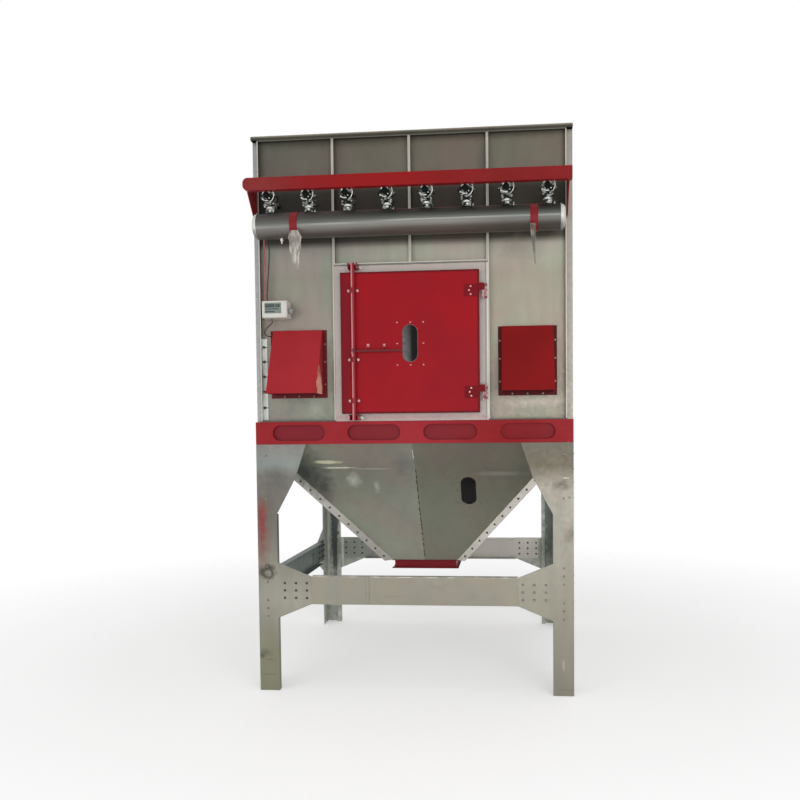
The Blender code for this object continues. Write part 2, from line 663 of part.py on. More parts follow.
def build_lock():
    rod_length = ROD_TOP - ROD_BOTTOM
    rod = place(cylinder_mesh((0, 0, (ROD_TOP + ROD_BOTTOM) / 2), (0, 0, 1), ROD_R, rod_length, 32),
                "lock_rod", "red_paint")
    grip_end = ROD_R + HANDLE_LENGTH
    handle = tool_box((0, -HANDLE_BAR / 2, HANDLE_Z - HANDLE_BAR / 2),
                      (grip_end - HANDLE_BAR / 2, HANDLE_BAR / 2, HANDLE_Z + HANDLE_BAR / 2))
    grip = tool(cylinder_mesh((grip_end - HANDLE_BAR / 2, 0, HANDLE_Z), (0, 1, 0), HANDLE_BAR / 2,
                              HANDLE_BAR, 20))
    hub = tool(cylinder_mesh((0, 0, HANDLE_Z), (0, 0, 1), ROD_R + GUIDE_WALL, 3 * HANDLE_BAR, 32))
    weld(handle, grip)
    weld(rod, hub, handle)
    rod.location = (ROD_X, ROD_Y, 0)

    hole_r = ROD_R + PIN_FIT
    for word, level in (("lower", DOOR_BOTTOM + GUIDE_FROM_BOTTOM), ("middle", HANDLE_Z - GUIDE_UNDER_HANDLE),
                        ("upper", DOOR_TOP - GUIDE_FROM_TOP)):
        low, high = level - GUIDE_HEIGHT / 2, level + GUIDE_HEIGHT / 2
        guide = box(word + "_rod_guide", "red_paint",
                    (ROD_X - GUIDE_WIDTH / 2, DOOR_FACE - GUIDE_WALL - FIT, low),
                    (ROD_X + GUIDE_WIDTH / 2, DOOR_FACE - FIT, high))
        loop = tool(cylinder_mesh((ROD_X, ROD_Y, level), (0, 0, 1), hole_r + GUIDE_WALL,
                                  GUIDE_HEIGHT, 32))
        cheek = tool_box((ROD_X - hole_r - GUIDE_WALL, ROD_Y, low),
                         (ROD_X + hole_r + GUIDE_WALL, DOOR_FACE - GUIDE_WALL / 2, high))
        weld(guide, loop, cheek)
        cut(guide, tool(cylinder_mesh((ROD_X, ROD_Y, level), (0, 0, 1), hole_r, 2 * GUIDE_HEIGHT, 32)))

    margin = KEEPER_LENGTH / 2
    for word, level in (("lower", ROD_BOTTOM + margin), ("upper", ROD_TOP - margin)):
        outer = KEEPER_GAP + KEEPER_WALL
        keeper = box(word + "_rod_keeper", "red_paint", (ROD_X - outer, ROD_Y - ROD_R, level - margin),
                     (ROD_X + outer, FRONT - FIT, level + margin))
        cut(keeper, tool_box((ROD_X - KEEPER_GAP, ROD_Y - 2 * ROD_R, level - KEEPER_LENGTH),
                             (ROD_X + KEEPER_GAP, FRONT - KEEPER_WALL, level + KEEPER_LENGTH)))


# Inlet hoods: open wedges on a bolting flange
def build_hoods():
    centre = -HOOD_X
    wall = SHEET_Y - FIT
    hood = box("left_inlet_hood", "red_paint",
               (centre - HOOD_FLANGE_WIDTH / 2, wall - SHEET, BELT_TOP + HOOD_FLANGE_UP),
               (centre + HOOD_FLANGE_WIDTH / 2, wall, HOOD_TOP))
    outline = [(wall - SHEET / 2, HOOD_BOTTOM), (wall - HOOD_DEPTH, HOOD_BOTTOM),
               (wall - HOOD_TOP_DEPTH, HOOD_TOP - SHEET / 2), (wall - SHEET / 2, HOOD_TOP - SHEET / 2)]
    half = HOOD_WIDTH / 2
    weld(hood, tool(profile_mesh(outline, "x", centre - half, centre + half)))
    slant = SHEET * 1.1
    pocket = [(wall + SHEET, HOOD_BOTTOM - SHEET), (wall - HOOD_DEPTH + slant, HOOD_BOTTOM - SHEET),
              (wall - HOOD_DEPTH + slant, HOOD_BOTTOM),
              (wall - HOOD_TOP_DEPTH + slant, HOOD_TOP - 2 * SHEET),
              (wall + SHEET, HOOD_TOP - 2 * SHEET)]
    pocket_half = half - SHEET
    hollow = tool(profile_mesh(pocket, "x", centre - pocket_half, centre + pocket_half))
    sill = tool_box((centre - half, wall - SHEET - FIT, HOOD_BOTTOM - 2 * SHEET),
                    (centre + half, wall + 2 * SHEET, BELT_TOP + HOOD_PORT_UP))
    cut(hood, cut(hollow, sill))
    mirrored(hood, "right_inlet_hood", across_x=0.0)


# Compressed-air tank, straps, valves, rail
def build_tank():
    shell = place(cylinder_mesh((0, TANK_Y, TANK_Z), (1, 0, 0), TANK_R, 2 * TANK_HALF, 48),
                  "air_tank_shell", "zinc_fittings")
    cut(shell, tool(cylinder_mesh((0, TANK_Y, TANK_Z), (1, 0, 0), TANK_R - TANK_WALL,
                                  2 * TANK_HALF + RIB, 48)))
    dome = bmesh.new()
    steps = 6
    rings = [(math.sin(math.pi / 2 * s / steps), math.cos(math.pi / 2 * s / steps))
             for s in range(steps)]
    previous = None
    loops = []
    for across, radial in rings:
        corners = []
        for side in range(48):
            turn = 2 * math.pi * side / 48
            swell = TANK_R * (0.62 + 0.38 * radial)
            corners.append(dome.verts.new((TANK_DISH * across, swell * math.cos(turn),
                                           swell * math.sin(turn))))
        loops.append([dome.edges.new((corners[i], corners[(i + 1) % 48])) for i in range(48)])
        if previous:
            bmesh.ops.bridge_loops(dome, edges=loops[-2] + loops[-1])
        previous = corners
    bmesh.ops.contextual_create(dome, geom=loops[0])
    bmesh.ops.contextual_create(dome, geom=loops[-1])
    bmesh.ops.translate(dome, vec=(TANK_HALF + FIT, TANK_Y, TANK_Z), verts=dome.verts)
    right = place(dome, "right_tank_end", "zinc_fittings")
    mirrored(right, "left_tank_end", across_x=0.0)

    wall = SHEET_Y - FIT
    for word, spot in zip(("left", "right"), STRAP_X):
        inner = TANK_R + FIT
        outer = inner + STRAP_THICK
        strap = place(cylinder_mesh((spot, TANK_Y, TANK_Z), (1, 0, 0), outer, STRAP_WIDTH, 48),
                      word + "_tank_strap", "red_paint")
        arm = tool_box((spot - STRAP_WIDTH / 2, TANK_Y, TANK_Z - RIB),
                       (spot + STRAP_WIDTH / 2, wall, TANK_Z + RIB))
        waist = tool_box((spot - STRAP_WIDTH, TANK_Y, TANK_Z - RIB + SHEET),
                         (spot + STRAP_WIDTH, wall - SHEET, TANK_Z + RIB - SHEET))
        weld(strap, cut(arm, waist))
        cut(strap, tool(cylinder_mesh((spot, TANK_Y, TANK_Z), (1, 0, 0), inner,
                                      2 * STRAP_WIDTH, 48)))


def build_valves():
    wall = SHEET_Y - FIT
    base = TANK_Z + TANK_R + FIT
    first = -(VALVES - 1) * VALVE_PITCH / 2
    body_r = PORT_R * 1.45
    valve = place(cylinder_mesh((0, TANK_Y, (base + VALVE_Z) / 2), (0, 0, 1), PORT_R,
                                VALVE_Z - base, 20), "pulse_valve_1", "cast_alloy")
    nut = tool(cylinder_mesh((0, TANK_Y, base + PORT_R / 2 + FIT), (0, 0, 1), PORT_R * 1.35,
                             PORT_R, 6))
    body = tool(cylinder_mesh((0, TANK_Y, VALVE_Z), (0, 1, 0), body_r, 2 * body_r, 24))
    tail = tool(cylinder_mesh((0, (TANK_Y + wall) / 2, VALVE_Z), (0, 1, 0), PORT_R,
                              wall - TANK_Y, 20))
    bonnet = tool(cylinder_mesh((0, TANK_Y - body_r, VALVE_Z), (0, 1, 0), BONNET_R, PORT_R, 24))
    cap = tool(cylinder_mesh((0, TANK_Y - body_r - PORT_R * 0.8, VALVE_Z), (0, -1, 0),
                             BONNET_R * 0.8, PORT_R * 0.8, 24, BONNET_R * 0.45))
    weld(valve, nut, body, tail, bonnet, cap)
    for index in range(1, VALVES):
        copy = mirrored(valve, "pulse_valve_" + str(index + 1))
        copy.data.transform(Matrix.Translation((first + VALVE_PITCH * index, 0, 0)))
    valve.data.transform(Matrix.Translation((first, 0, 0)))


def rail_outline(inset):
    """Front view of the rail: its left end is rounded, its right end square."""
    left, right = -RAIL_HALF + inset, RAIL_HALF - inset
    low, high = RAIL_BOTTOM + inset, RAIL_TOP - inset
    radius = RAIL_ROUND - inset
    points = [(right, low), (right, high)]
    for centre_z, first in ((high - radius, 90), (low + radius, 180)):
        for step in range(7):
            turn = math.radians(first + 15 * step)
            points.append((left + radius + radius * math.cos(turn), centre_z + radius * math.sin(turn)))
    return points


def build_rail():
    rail = place(profile_mesh(rail_outline(0.0), "y", RAIL_Y, RAIL_Y + RAIL_DEPTH),
                 "guard_rail", "red_paint")
    cut(rail, tool(profile_mesh(rail_outline(RAIL_WALL), "y", RAIL_Y + RAIL_WALL,
                                RAIL_Y + 2 * RAIL_DEPTH)))
    near = RAIL_Y + RAIL_DEPTH + FIT
    gusset = [(near, RAIL_BOTTOM), (near, RAIL_TOP), (SHEET_Y - FIT, RAIL_TOP),
              (SHEET_Y - FIT, RAIL_TOP - RAIL_BRACKET_HEIGHT), (FRONT - RIB, RAIL_TOP - RAIL_BRACKET_HEIGHT)]
    plate = place(profile_mesh(gusset, "x", -WALL_X - SHEET, -WALL_X), "left_rail_bracket", "red_paint")
    mirrored(plate, "right_rail_bracket", across_x=0.0)


def build_controls():
    case = box("control_box", "control_plastic",
               (BOX_X - BOX_WIDTH / 2, FRONT - BOX_FRONT, BOX_Z - BOX_HEIGHT / 2),
               (BOX_X + BOX_WIDTH / 2, SHEET_Y - FIT, BOX_Z + BOX_HEIGHT / 2))
    gland_x = BOX_X + BOX_WIDTH / 2
    gland = tool(cylinder_mesh((gland_x + CONDUIT_R, FRONT, BOX_Z - GLAND_DROP), (1, 0, 0), 2 * CONDUIT_R,
                               4 * CONDUIT_R, 20))
    weld(case, gland)

    line = bpy.data.curves.new("valve_conduit", "CURVE")
    line.dimensions = "3D"
    line.bevel_depth = CONDUIT_R
    line.bevel_resolution = 2
    line.use_fill_caps = True
    run_y = FRONT - CONDUIT_R - DOOR_CLEAR / 2
    bend = 5 * CONDUIT_R
    points = [(CONDUIT_X, run_y, BOX_Z + BOX_HEIGHT / 2 + FIT)]
    for step in range(7):
        turn = math.radians(90 * step / 6)
        points.append((CONDUIT_X + bend - bend * math.cos(turn), run_y,
                       CONDUIT_Z - bend + bend * math.sin(turn)))
    points.append(((VALVES - 1) * VALVE_PITCH / 2, run_y, CONDUIT_Z))
    spline = line.splines.new("POLY")
    spline.points.add(len(points) - 1)
    for point, spot in zip(spline.points, points):
        point.co = (*spot, 1.0)
    wire = bpy.data.objects.new("valve_conduit_line", line)
    TOOLS.objects.link(wire)
    graph = bpy.context.evaluated_depsgraph_get()
    bm = bmesh.new()
    bm.from_mesh(bpy.data.meshes.new_from_object(wire.evaluated_get(graph)))
    bmesh.ops.remove_doubles(bm, verts=bm.verts, dist=0.0001)
    bpy.data.objects.remove(wire, do_unlink=True)
    place(bm, "valve_conduit", "conduit_plastic")


build_front()
build_back()
build_sides()
build_roof()
build_belt()
build_legs()
build_beams()
build_hopper()
build_door()
build_hinges()
build_lock()
build_hoods()
build_tank()
build_valves()
build_rail()
build_controls()
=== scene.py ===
import math
import random

import bmesh
import bpy
from mathutils import Matrix, Vector


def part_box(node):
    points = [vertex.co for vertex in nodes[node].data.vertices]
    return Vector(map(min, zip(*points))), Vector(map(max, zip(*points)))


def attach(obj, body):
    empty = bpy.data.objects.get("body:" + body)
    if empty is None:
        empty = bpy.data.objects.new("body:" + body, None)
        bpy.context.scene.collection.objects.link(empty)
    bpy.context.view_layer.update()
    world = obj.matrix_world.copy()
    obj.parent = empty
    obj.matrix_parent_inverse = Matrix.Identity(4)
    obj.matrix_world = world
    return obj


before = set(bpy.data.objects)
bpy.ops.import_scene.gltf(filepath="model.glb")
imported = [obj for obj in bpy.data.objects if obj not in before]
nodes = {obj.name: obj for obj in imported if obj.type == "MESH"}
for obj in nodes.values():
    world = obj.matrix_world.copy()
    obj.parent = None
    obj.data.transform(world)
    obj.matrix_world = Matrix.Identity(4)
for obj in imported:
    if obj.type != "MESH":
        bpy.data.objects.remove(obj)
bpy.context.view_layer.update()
MM = 0.001

# Camera: solved from the photograph's edges, with the housing 2.0 m wide
CAMERA_SPOT = Vector((0.613, -5.4315, 1.6446))
CAMERA_YAW, CAMERA_PITCH, CAMERA_ROLL = -0.0864, 0.0382, -0.0091
FOCAL_PX = 747.73
CENTRE_PX = (445.75, 461.46)
FRAME_PX = 800
SENSOR = 36.0

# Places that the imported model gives
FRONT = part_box("door_frame")[0].y
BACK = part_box("back_wall")[1].y
MIDDLE = (FRONT + BACK) / 2
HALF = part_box("front_belt")[1].x
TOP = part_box("roof")[1].z
BELT_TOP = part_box("front_belt")[1].z
SHEET = 4 * MM
LEG_PLATE = 5 * MM
SHEET_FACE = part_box("front_panel_left")[1].y - SHEET
DOOR_LOW, DOOR_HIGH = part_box("door_leaf")
DOOR_FACE = DOOR_LOW.y
BEAM_LOW, BEAM_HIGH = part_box("front_beam")
TANK_LOW, TANK_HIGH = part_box("air_tank_shell")
TANK_R = (TANK_HIGH.z - TANK_LOW.z) / 2
TANK_Y = (TANK_HIGH.y + TANK_LOW.y) / 2
TANK_Z = (TANK_HIGH.z + TANK_LOW.z) / 2
OUTLET_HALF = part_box("discharge_flange")[1].x - 2 * MM
HOPPER_TOP_HALF = Vector((0.960, 0.860))
HOPPER_LOW, HOPPER_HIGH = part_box("front_hopper_plate")
HOPPER_RISE = HOPPER_HIGH.z - HOPPER_LOW.z
HOPPER_PITCH = 94 * MM
HIP_BOLT_OUT = 24 * MM

FRONT_WAY = Vector((0, -1, 0))
UP = Vector((0, 0, 1))
RIGHT = Vector((1, 0, 0))
TURN = 2 * math.pi


def linear(hex_code):
    """sRGB hex to a linear colour."""
    parts = [int(hex_code[i:i + 2], 16) / 255 for i in (1, 3, 5)]
    return tuple(c / 12.92 if c <= 0.04045 else ((c + 0.055) / 1.055) ** 2.4 for c in parts) + (1.0,)


# Finishes

PAINT = {"out": 2, "data_type": "RGBA"}  # a Mix node that mixes colours
MARK_END = 1.45  # distance, in reaches, at which a mark has ended where the noise is nil
MARK_TEAR = 0.9  # how far noise pulls a mark's edge in
DUST = 0.22  # share of dust on painted faces that look straight up


def feed(tree, node, inputs):
    """Give a node's sockets their values, or the sockets that feed them."""
    for key, value in inputs.items():
        if isinstance(value, bpy.types.NodeSocket):
            tree.links.new(value, node.inputs[key])
        else:
            node.inputs[key].default_value = value


def add(tree, kind, *values, out=0, **settings):
    """One node with its settings: gives back one of its outputs, or the node itself if out is None.

    values fill its sockets in order, and a dictionary fills the sockets that it names.
    """
    made = tree.nodes.new("ShaderNode" + kind)
    for key, value in settings.items():
        setattr(made, key, value)
    for place, value in enumerate(values):
        feed(tree, made, value if isinstance(value, dict) else {place: value})
    return made if out is None else made.outputs[out]


def finish(name):
    """An empty material: its tree, its shader, and each point's place on the object."""
    made = bpy.data.materials.new(name)
    made.use_nodes = True
    tree = made.node_tree
    return made, tree, tree.nodes["Principled BSDF"], add(tree, "TexCoord", out="Object")


def stops(tree, level, places):
    """Colour at a level between (place, hex) pairs."""
    ramp = add(tree, "ValToRGB", level, out=None)
    band = ramp.color_ramp
    for index, (place, hex_code) in enumerate(places):
        stop = band.elements[index] if index < 2 else band.elements.new(place)
        stop.position = place
        stop.color = linear(hex_code)
    return ramp.outputs["Color"]


def apart(tree, spot, axis, middle):
    """Distance along an axis from a middle."""
    along = add(tree, "SeparateXYZ", spot, out=axis)
    return add(tree, "Math", add(tree, "Math", along, middle, operation="SUBTRACT"), operation="ABSOLUTE")


def blots(tree, spot, colour, marks, noise):
    """Soft marks with ragged edges: centre, reach along X, Y and Z, hex colour, strength, softness."""
    if not marks:
        return colour
    ragged = add(tree, "TexNoise", {"Vector": spot, "Scale": noise, "Detail": 3.0})
    for centre, reach, hex_code, strength, soft in marks:
        away = add(tree, "VectorMath", spot, centre, operation="SUBTRACT")
        away = add(tree, "VectorMath", away, reach, operation="DIVIDE")
        far = add(tree, "VectorMath", away, out="Value", operation="LENGTH")
        torn = add(tree, "Math", ragged, MARK_TEAR, far, operation="MULTIPLY_ADD")
        share = add(tree, "MapRange", torn, MARK_END, MARK_END - soft, 0.0, strength)
        colour = add(tree, "Mix", {0: share, 6: colour, 7: linear(hex_code)}, **PAINT)
    return colour


def galvanised(name, tones, across=None, tints=None, marks=(), crystal=16 * MM, streaks=0.20, clouds=0.22,
               spangle=0.07, rough=(0.46, 0.62), pans=False, flanges=None):
    """Hot-dip galvanised steel: frosted zinc crystals, rain streaks down the sheet, a wavy soft gloss.

    tones run up the height and across runs over the width. tints are the two ends of a slow colour change.
    pans gives a folded front painted shade in its folds and painted highlights on its upright lips.
    flanges is the pair of painted light tones, left and right, for faces that stand on a hip.
    """
    made, tree, shader, spot = finish(name)
    axes = add(tree, "SeparateXYZ", spot, out=None).outputs
    tone = stops(tree, add(tree, "Math", axes["Z"], TOP, operation="DIVIDE"), tones)
    if across:
        light = stops(tree, add(tree, "MapRange", axes["X"], -HALF, HALF), across)
        tone = add(tree, "VectorMath", tone, light, operation="MULTIPLY")
    if tints:
        moved = add(tree, "Mapping", {"Vector": spot, "Location": (3.1, 0.0, 7.7)})
        slow = add(tree, "TexNoise", {"Vector": moved, "Scale": 3.3, "Detail": 2.0})
        tint = stops(tree, slow, ((0.36, tints[0]), (0.64, tints[1])))
        tone = add(tree, "VectorMath", tone, tint, operation="MULTIPLY")
    if pans:
        # Painted shade on the flanks and lips of the folds
        corner = add(tree, "MapRange", axes["Y"], SHEET_FACE - 2 * MM, SHEET_FACE - 6 * MM, 0.0, 0.75)
        tone = add(tree, "Mix", {0: corner, 6: tone, 7: linear("#4c4943")}, **PAINT)
        lip = add(tree, "MapRange", axes["Y"], FRONT + 5 * MM, FRONT + 3 * MM)
        tone = add(tree, "Mix", {0: lip, 6: tone, 7: linear("#57544c")}, **PAINT)
        # Only the upright lips get a painted highlight; those under the roof and above the belt keep the
        # painted shade
        low = add(tree, "MapRange", axes["Z"], BELT_TOP + 7 * MM, BELT_TOP + 9 * MM)
        high = add(tree, "MapRange", axes["Z"], TOP - 30 * MM, TOP - 34 * MM)
        painted_highlight = add(tree, "Math", low, high, operation="MULTIPLY")
        painted_highlight = add(tree, "Math", lip, painted_highlight, operation="MULTIPLY")
        tone = add(tree, "Mix", {0: painted_highlight, 6: tone, 7: linear("#b8b3aa")}, **PAINT)
    if flanges:
        # Painted light: faces that stand on a hip take a pale tone, paler on the right
        way = add(tree, "NewGeometry", out="True Normal")
        parts = add(tree, "SeparateXYZ", way, out=None).outputs
        both = add(tree, "Math", parts["X"], parts["Y"], operation="MULTIPLY")
        hip = add(tree, "MapRange", add(tree, "Math", both, operation="ABSOLUTE"), 0.16, 0.24)
        right = add(tree, "MapRange", axes["X"], -0.2, 0.2)
        pale = add(tree, "Mix", {0: right, 6: linear(flanges[0]), 7: linear(flanges[1])}, **PAINT)
        tone = add(tree, "Mix", {0: hip, 6: tone, 7: pale}, **PAINT)
    crystals = add(tree, "TexVoronoi", {"Vector": spot, "Scale": 1 / crystal}, out="Color")
    grain = add(tree, "SeparateColor", crystals)
    # Rain marks: about 60 mm across and six times as long
    stretched = add(tree, "Mapping", {"Vector": spot, "Scale": (1, 1, 0.16)})
    rain = add(tree, "TexNoise", {"Vector": stretched, "Scale": 16.0, "Detail": 5.0})
    cloud = add(tree, "TexNoise", {"Vector": spot, "Scale": 2.4, "Detail": 3.0})
    strength = 1 - (streaks + clouds + spangle) / 2
    for pattern, share in ((rain, streaks), (cloud, clouds), (grain, spangle)):
        strength = add(tree, "Math", pattern, share, strength, operation="MULTIPLY_ADD")
    colour = add(tree, "VectorMath", {0: tone, 3: strength}, operation="SCALE")
    colour = blots(tree, spot, colour, marks, 22.0)
    gloss = add(tree, "MapRange", grain, 0.0, 1.0, *rough)
    waves = add(tree, "TexNoise", {"Vector": spot, "Scale": 3.0, "Detail": 1.0})
    dents = add(tree, "Bump", {"Strength": 0.10, "Distance": 0.012, "Height": waves})
    frost = add(tree, "Bump", {"Strength": 0.04, "Distance": 0.0006, "Height": grain, "Normal": dents})
    feed(tree, shader, {"Base Color": colour, "Roughness": gloss, "Normal": frost, "Metallic": 0.6})
    return made


def powder_coat(name, hex_code, deep, marks=(), recess=None, recess_hex="#84242c", border=(), highlight_way=None,
                gloss=(0.34, 0.55), shine=0.14):
    """Red powder coat baked on steel: even colour, slight orange peel, a film of dust on what faces up.

    recess is an axis, a middle plane, the distance inside which painted shade darkens the coat,
    and that edge's softness.
    border gives, for an axis, the ends of a leaf whose edges get painted shade.
    The direction given after it makes the faces turned to it pale: a painted highlight.
    """
    made, tree, shader, spot = finish(name)
    cloud = add(tree, "TexNoise", {"Vector": spot, "Scale": 3.2, "Detail": 4.0})
    patch = add(tree, "MapRange", cloud, 0.35, 0.68)
    colour = add(tree, "Mix", {0: patch, 6: linear(hex_code), 7: linear(deep)}, **PAINT)
    if recess:
        axis, middle, reach, soft = recess
        edge = reach - 3 * MM
        sunk = add(tree, "MapRange", apart(tree, spot, axis, middle), edge, edge - soft, 0.0, 0.9)
        colour = add(tree, "Mix", {0: sunk, 6: colour, 7: linear(recess_hex)}, **PAINT)
        # Painted shade on the pressed slope between face and floor: greatest where the recess is half deep
        slope = add(tree, "Math", 0.9, sunk, operation="SUBTRACT")
        slope = add(tree, "Math", slope, sunk, operation="MULTIPLY")
        slope = add(tree, "Math", slope, 4.5, operation="MULTIPLY", use_clamp=True)
        colour = add(tree, "Mix", {0: slope, 6: colour, 7: linear("#56131a")}, **PAINT)
    # Painted shade along the leaf's edges
    for axis, low, high in border:
        away = apart(tree, spot, axis, (low + high) / 2)
        reach = (high - low) / 2
        painted_edge_shade = add(tree, "MapRange", away, reach - 17 * MM, reach - 3 * MM, 0.0, 0.9)
        colour = add(tree, "Mix", {0: painted_edge_shade, 6: colour, 7: linear("#521016")}, **PAINT)
    way = add(tree, "NewGeometry", out="Normal")
    # Painted highlight on faces turned to the given direction
    if highlight_way:
        faced = add(tree, "VectorMath", way, highlight_way, out="Value", operation="DOT_PRODUCT")
        painted_highlight = add(tree, "MapRange", faced, 0.93, 0.992, 0.0, 0.85)
        colour = add(tree, "Mix", {0: painted_highlight, 6: colour, 7: linear("#e19a9b")}, **PAINT)
    lying = add(tree, "MapRange", add(tree, "SeparateXYZ", way, out="Z"), 0.45, 1.0, 0.0, DUST)
    colour = add(tree, "Mix", {0: lying, 6: colour, 7: linear("#a07268")}, **PAINT)
    colour = blots(tree, spot, colour, marks, 14.0)
    # Orange peel is about 2 mm across on the real coat; 7 mm here, so that it shows
    peel = add(tree, "TexNoise", {"Vector": spot, "Scale": 140.0, "Detail": 1.0})
    bumps = add(tree, "Bump", {"Strength": 0.10, "Distance": 0.0008, "Height": peel})
    sheen = add(tree, "MapRange", cloud, 0.0, 1.0, *gloss)
    feed(tree, shader, {"Base Color": colour, "Roughness": sheen, "Normal": bumps,
                        "Specular IOR Level": shine})
    return made


def drawn_pipe(name, bands, rough):
    """Zinc-coated drawn pipe: painted light in bands round it, with fine drawing lines along its length.

    The painted highlight band is lower and duller near the left end,
    and its under side has more painted shade near the right end.
    """
    made, tree, shader, spot = finish(name)
    upward = add(tree, "SeparateXYZ", add(tree, "NewGeometry", out="Normal"), out="Z")
    along = add(tree, "SeparateXYZ", spot, out="X")
    # Drawing lines: 12 mm apart round the pipe and a metre long
    stretched = add(tree, "Mapping", {"Vector": spot, "Scale": (0.012, 1, 1)})
    lines = add(tree, "TexNoise", {"Vector": stretched, "Scale": 80.0, "Detail": 4.0})
    shifted = add(tree, "Math", lines, 0.16, upward, operation="MULTIPLY_ADD")
    lowered = add(tree, "MapRange", along, -0.9, 0.05, 0.13, 0.0)
    level = add(tree, "Math", add(tree, "MapRange", shifted, -0.92, 1.08), lowered, operation="ADD")
    dimmed_highlight = add(tree, "MapRange", along, -0.8, -0.1, 0.42, 0.0)
    tone = add(tree, "Mix", {0: dimmed_highlight, 6: stops(tree, level, bands), 7: linear("#6e6b69")}, **PAINT)
    cloud = add(tree, "TexNoise", {"Vector": spot, "Scale": 5.0, "Detail": 4.0})
    strength = add(tree, "Math", cloud, 0.20, 0.90, operation="MULTIPLY_ADD")
    under = add(tree, "MapRange", level, 0.47, 0.42, 0.0, 0.30)
    under = add(tree, "Math", under, add(tree, "MapRange", along, 0.25, 0.60), operation="MULTIPLY")
    under = add(tree, "Math", 1.0, under, operation="SUBTRACT")
    strength = add(tree, "Math", strength, under, operation="MULTIPLY")
    colour = add(tree, "VectorMath", {0: tone, 3: strength}, operation="SCALE")
    gloss = add(tree, "MapRange", lines, 0.0, 1.0, rough - 0.06, rough + 0.10)
    bumps = add(tree, "Bump", {"Strength": 0.10, "Distance": 0.0008, "Height": lines})
    feed(tree, shader, {"Base Color": colour, "Roughness": gloss, "Normal": bumps, "Metallic": 0.65})
    return made


def plain_metal(name, light, dark, grit, rough, metallic=0.8, relief=0.15, edges=(0.35, 0.65)):
    """Plated, cast or drawn metal: two close tones in patches of the given size in mm, with fine relief."""
    made, tree, shader, spot = finish(name)
    patches = add(tree, "TexNoise", {"Vector": spot, "Scale": 1 / (grit * MM), "Detail": 4.0})
    share = add(tree, "MapRange", patches, *edges)
    colour = add(tree, "Mix", {0: share, 6: linear(dark), 7: linear(light)}, **PAINT)
    gloss = add(tree, "MapRange", patches, 0.0, 1.0, rough + 0.08, rough - 0.08)
    bumps = add(tree, "Bump", {"Strength": relief, "Distance": 0.0008, "Height": patches})
    feed(tree, shader, {"Base Color": colour, "Roughness": gloss, "Normal": bumps, "Metallic": metallic})
    return made


def moulded(name, light, dark, grain, rough, relief=0.08, shine=0.3):
    """Moulded plastic or rubber: nearly even colour with a fine moulded grain, its size in mm."""
    made = plain_metal(name, light, dark, grain, rough, metallic=0.0, relief=relief)
    made.node_tree.nodes["Principled BSDF"].inputs["Specular IOR Level"].default_value = shine
    return made


def dusty_glass(name, clean, dust, dust_from, dust_to, bottom, top):
    """Float glass over a dark chamber, its dark the chamber's painted shade.

    A pale film of dust and painted reflection thins from one side to the other, and upwards.
    """
    made, tree, shader, spot = finish(name)
    axes = add(tree, "SeparateXYZ", spot, out=None).outputs
    side = add(tree, "MapRange", axes["X"], dust_from, dust_to, 1.0, 0.0)
    height = add(tree, "MapRange", axes["Z"], bottom, top, 1.1, 0.45)
    smudge = add(tree, "TexNoise", {"Vector": spot, "Scale": 26.0, "Detail": 4.0})
    smudge = add(tree, "MapRange", smudge, 0.25, 0.65, 0.55, 1.1)
    film = add(tree, "Math", side, smudge, operation="MULTIPLY")
    film = add(tree, "Math", film, height, operation="MULTIPLY", use_clamp=True)
    colour = add(tree, "Mix", {0: film, 6: linear(clean), 7: linear(dust)}, **PAINT)
    gloss = add(tree, "MapRange", film, 0.0, 1.0, 0.10, 0.5)
    feed(tree, shader, {"Base Color": colour, "Roughness": gloss, "Specular IOR Level": 0.15})
    return made


def thin_film(name, hex_code, deep):
    """Torn polythene wrap: cloudy, wrinkled, lets some light through."""
    made, tree, shader, spot = finish(name)
    # Wrinkles about 25 mm apart and three times as long
    stretched = add(tree, "Mapping", {"Vector": spot, "Scale": (1, 1, 0.35)})
    folds = add(tree, "TexNoise", {"Vector": stretched, "Scale": 40.0, "Detail": 2.0})
    share = add(tree, "MapRange", folds, 0.38, 0.62)
    colour = add(tree, "Mix", {0: share, 6: linear(hex_code), 7: linear(deep)}, **PAINT)
    bumps = add(tree, "Bump", {"Strength": 0.25, "Distance": 0.003, "Height": folds})
    clear = add(tree, "MapRange", folds, 0.35, 0.6, 0.96, 0.70)
    feed(tree, shader, {"Base Color": colour, "Normal": bumps, "Alpha": clear, "Roughness": 0.35})
    return made


def upright(y, deep, *rows):
    """Marks on an upright face at y: X, Z, reach along X and Z, hex colour, strength, softness."""
    return [((x, y, z), (wide, deep, high), *rest) for x, z, wide, high, *rest in rows]


SLOW_TINTS = ("#f3fbee", "#fbefec")
FAINT_TINTS = ("#f8fcf7", "#fdf8f6")
# Hood flanges darkened with painted shade
HOOD_RECESS = ("Y", SHEET_FACE, 12 * MM, 3 * MM)
PLATE = {"crystal": 22 * MM, "clouds": 0.30, "streaks": 0.28}
OLD_PLATE = {"crystal": 34 * MM, "clouds": 0.75, "streaks": 0.45}

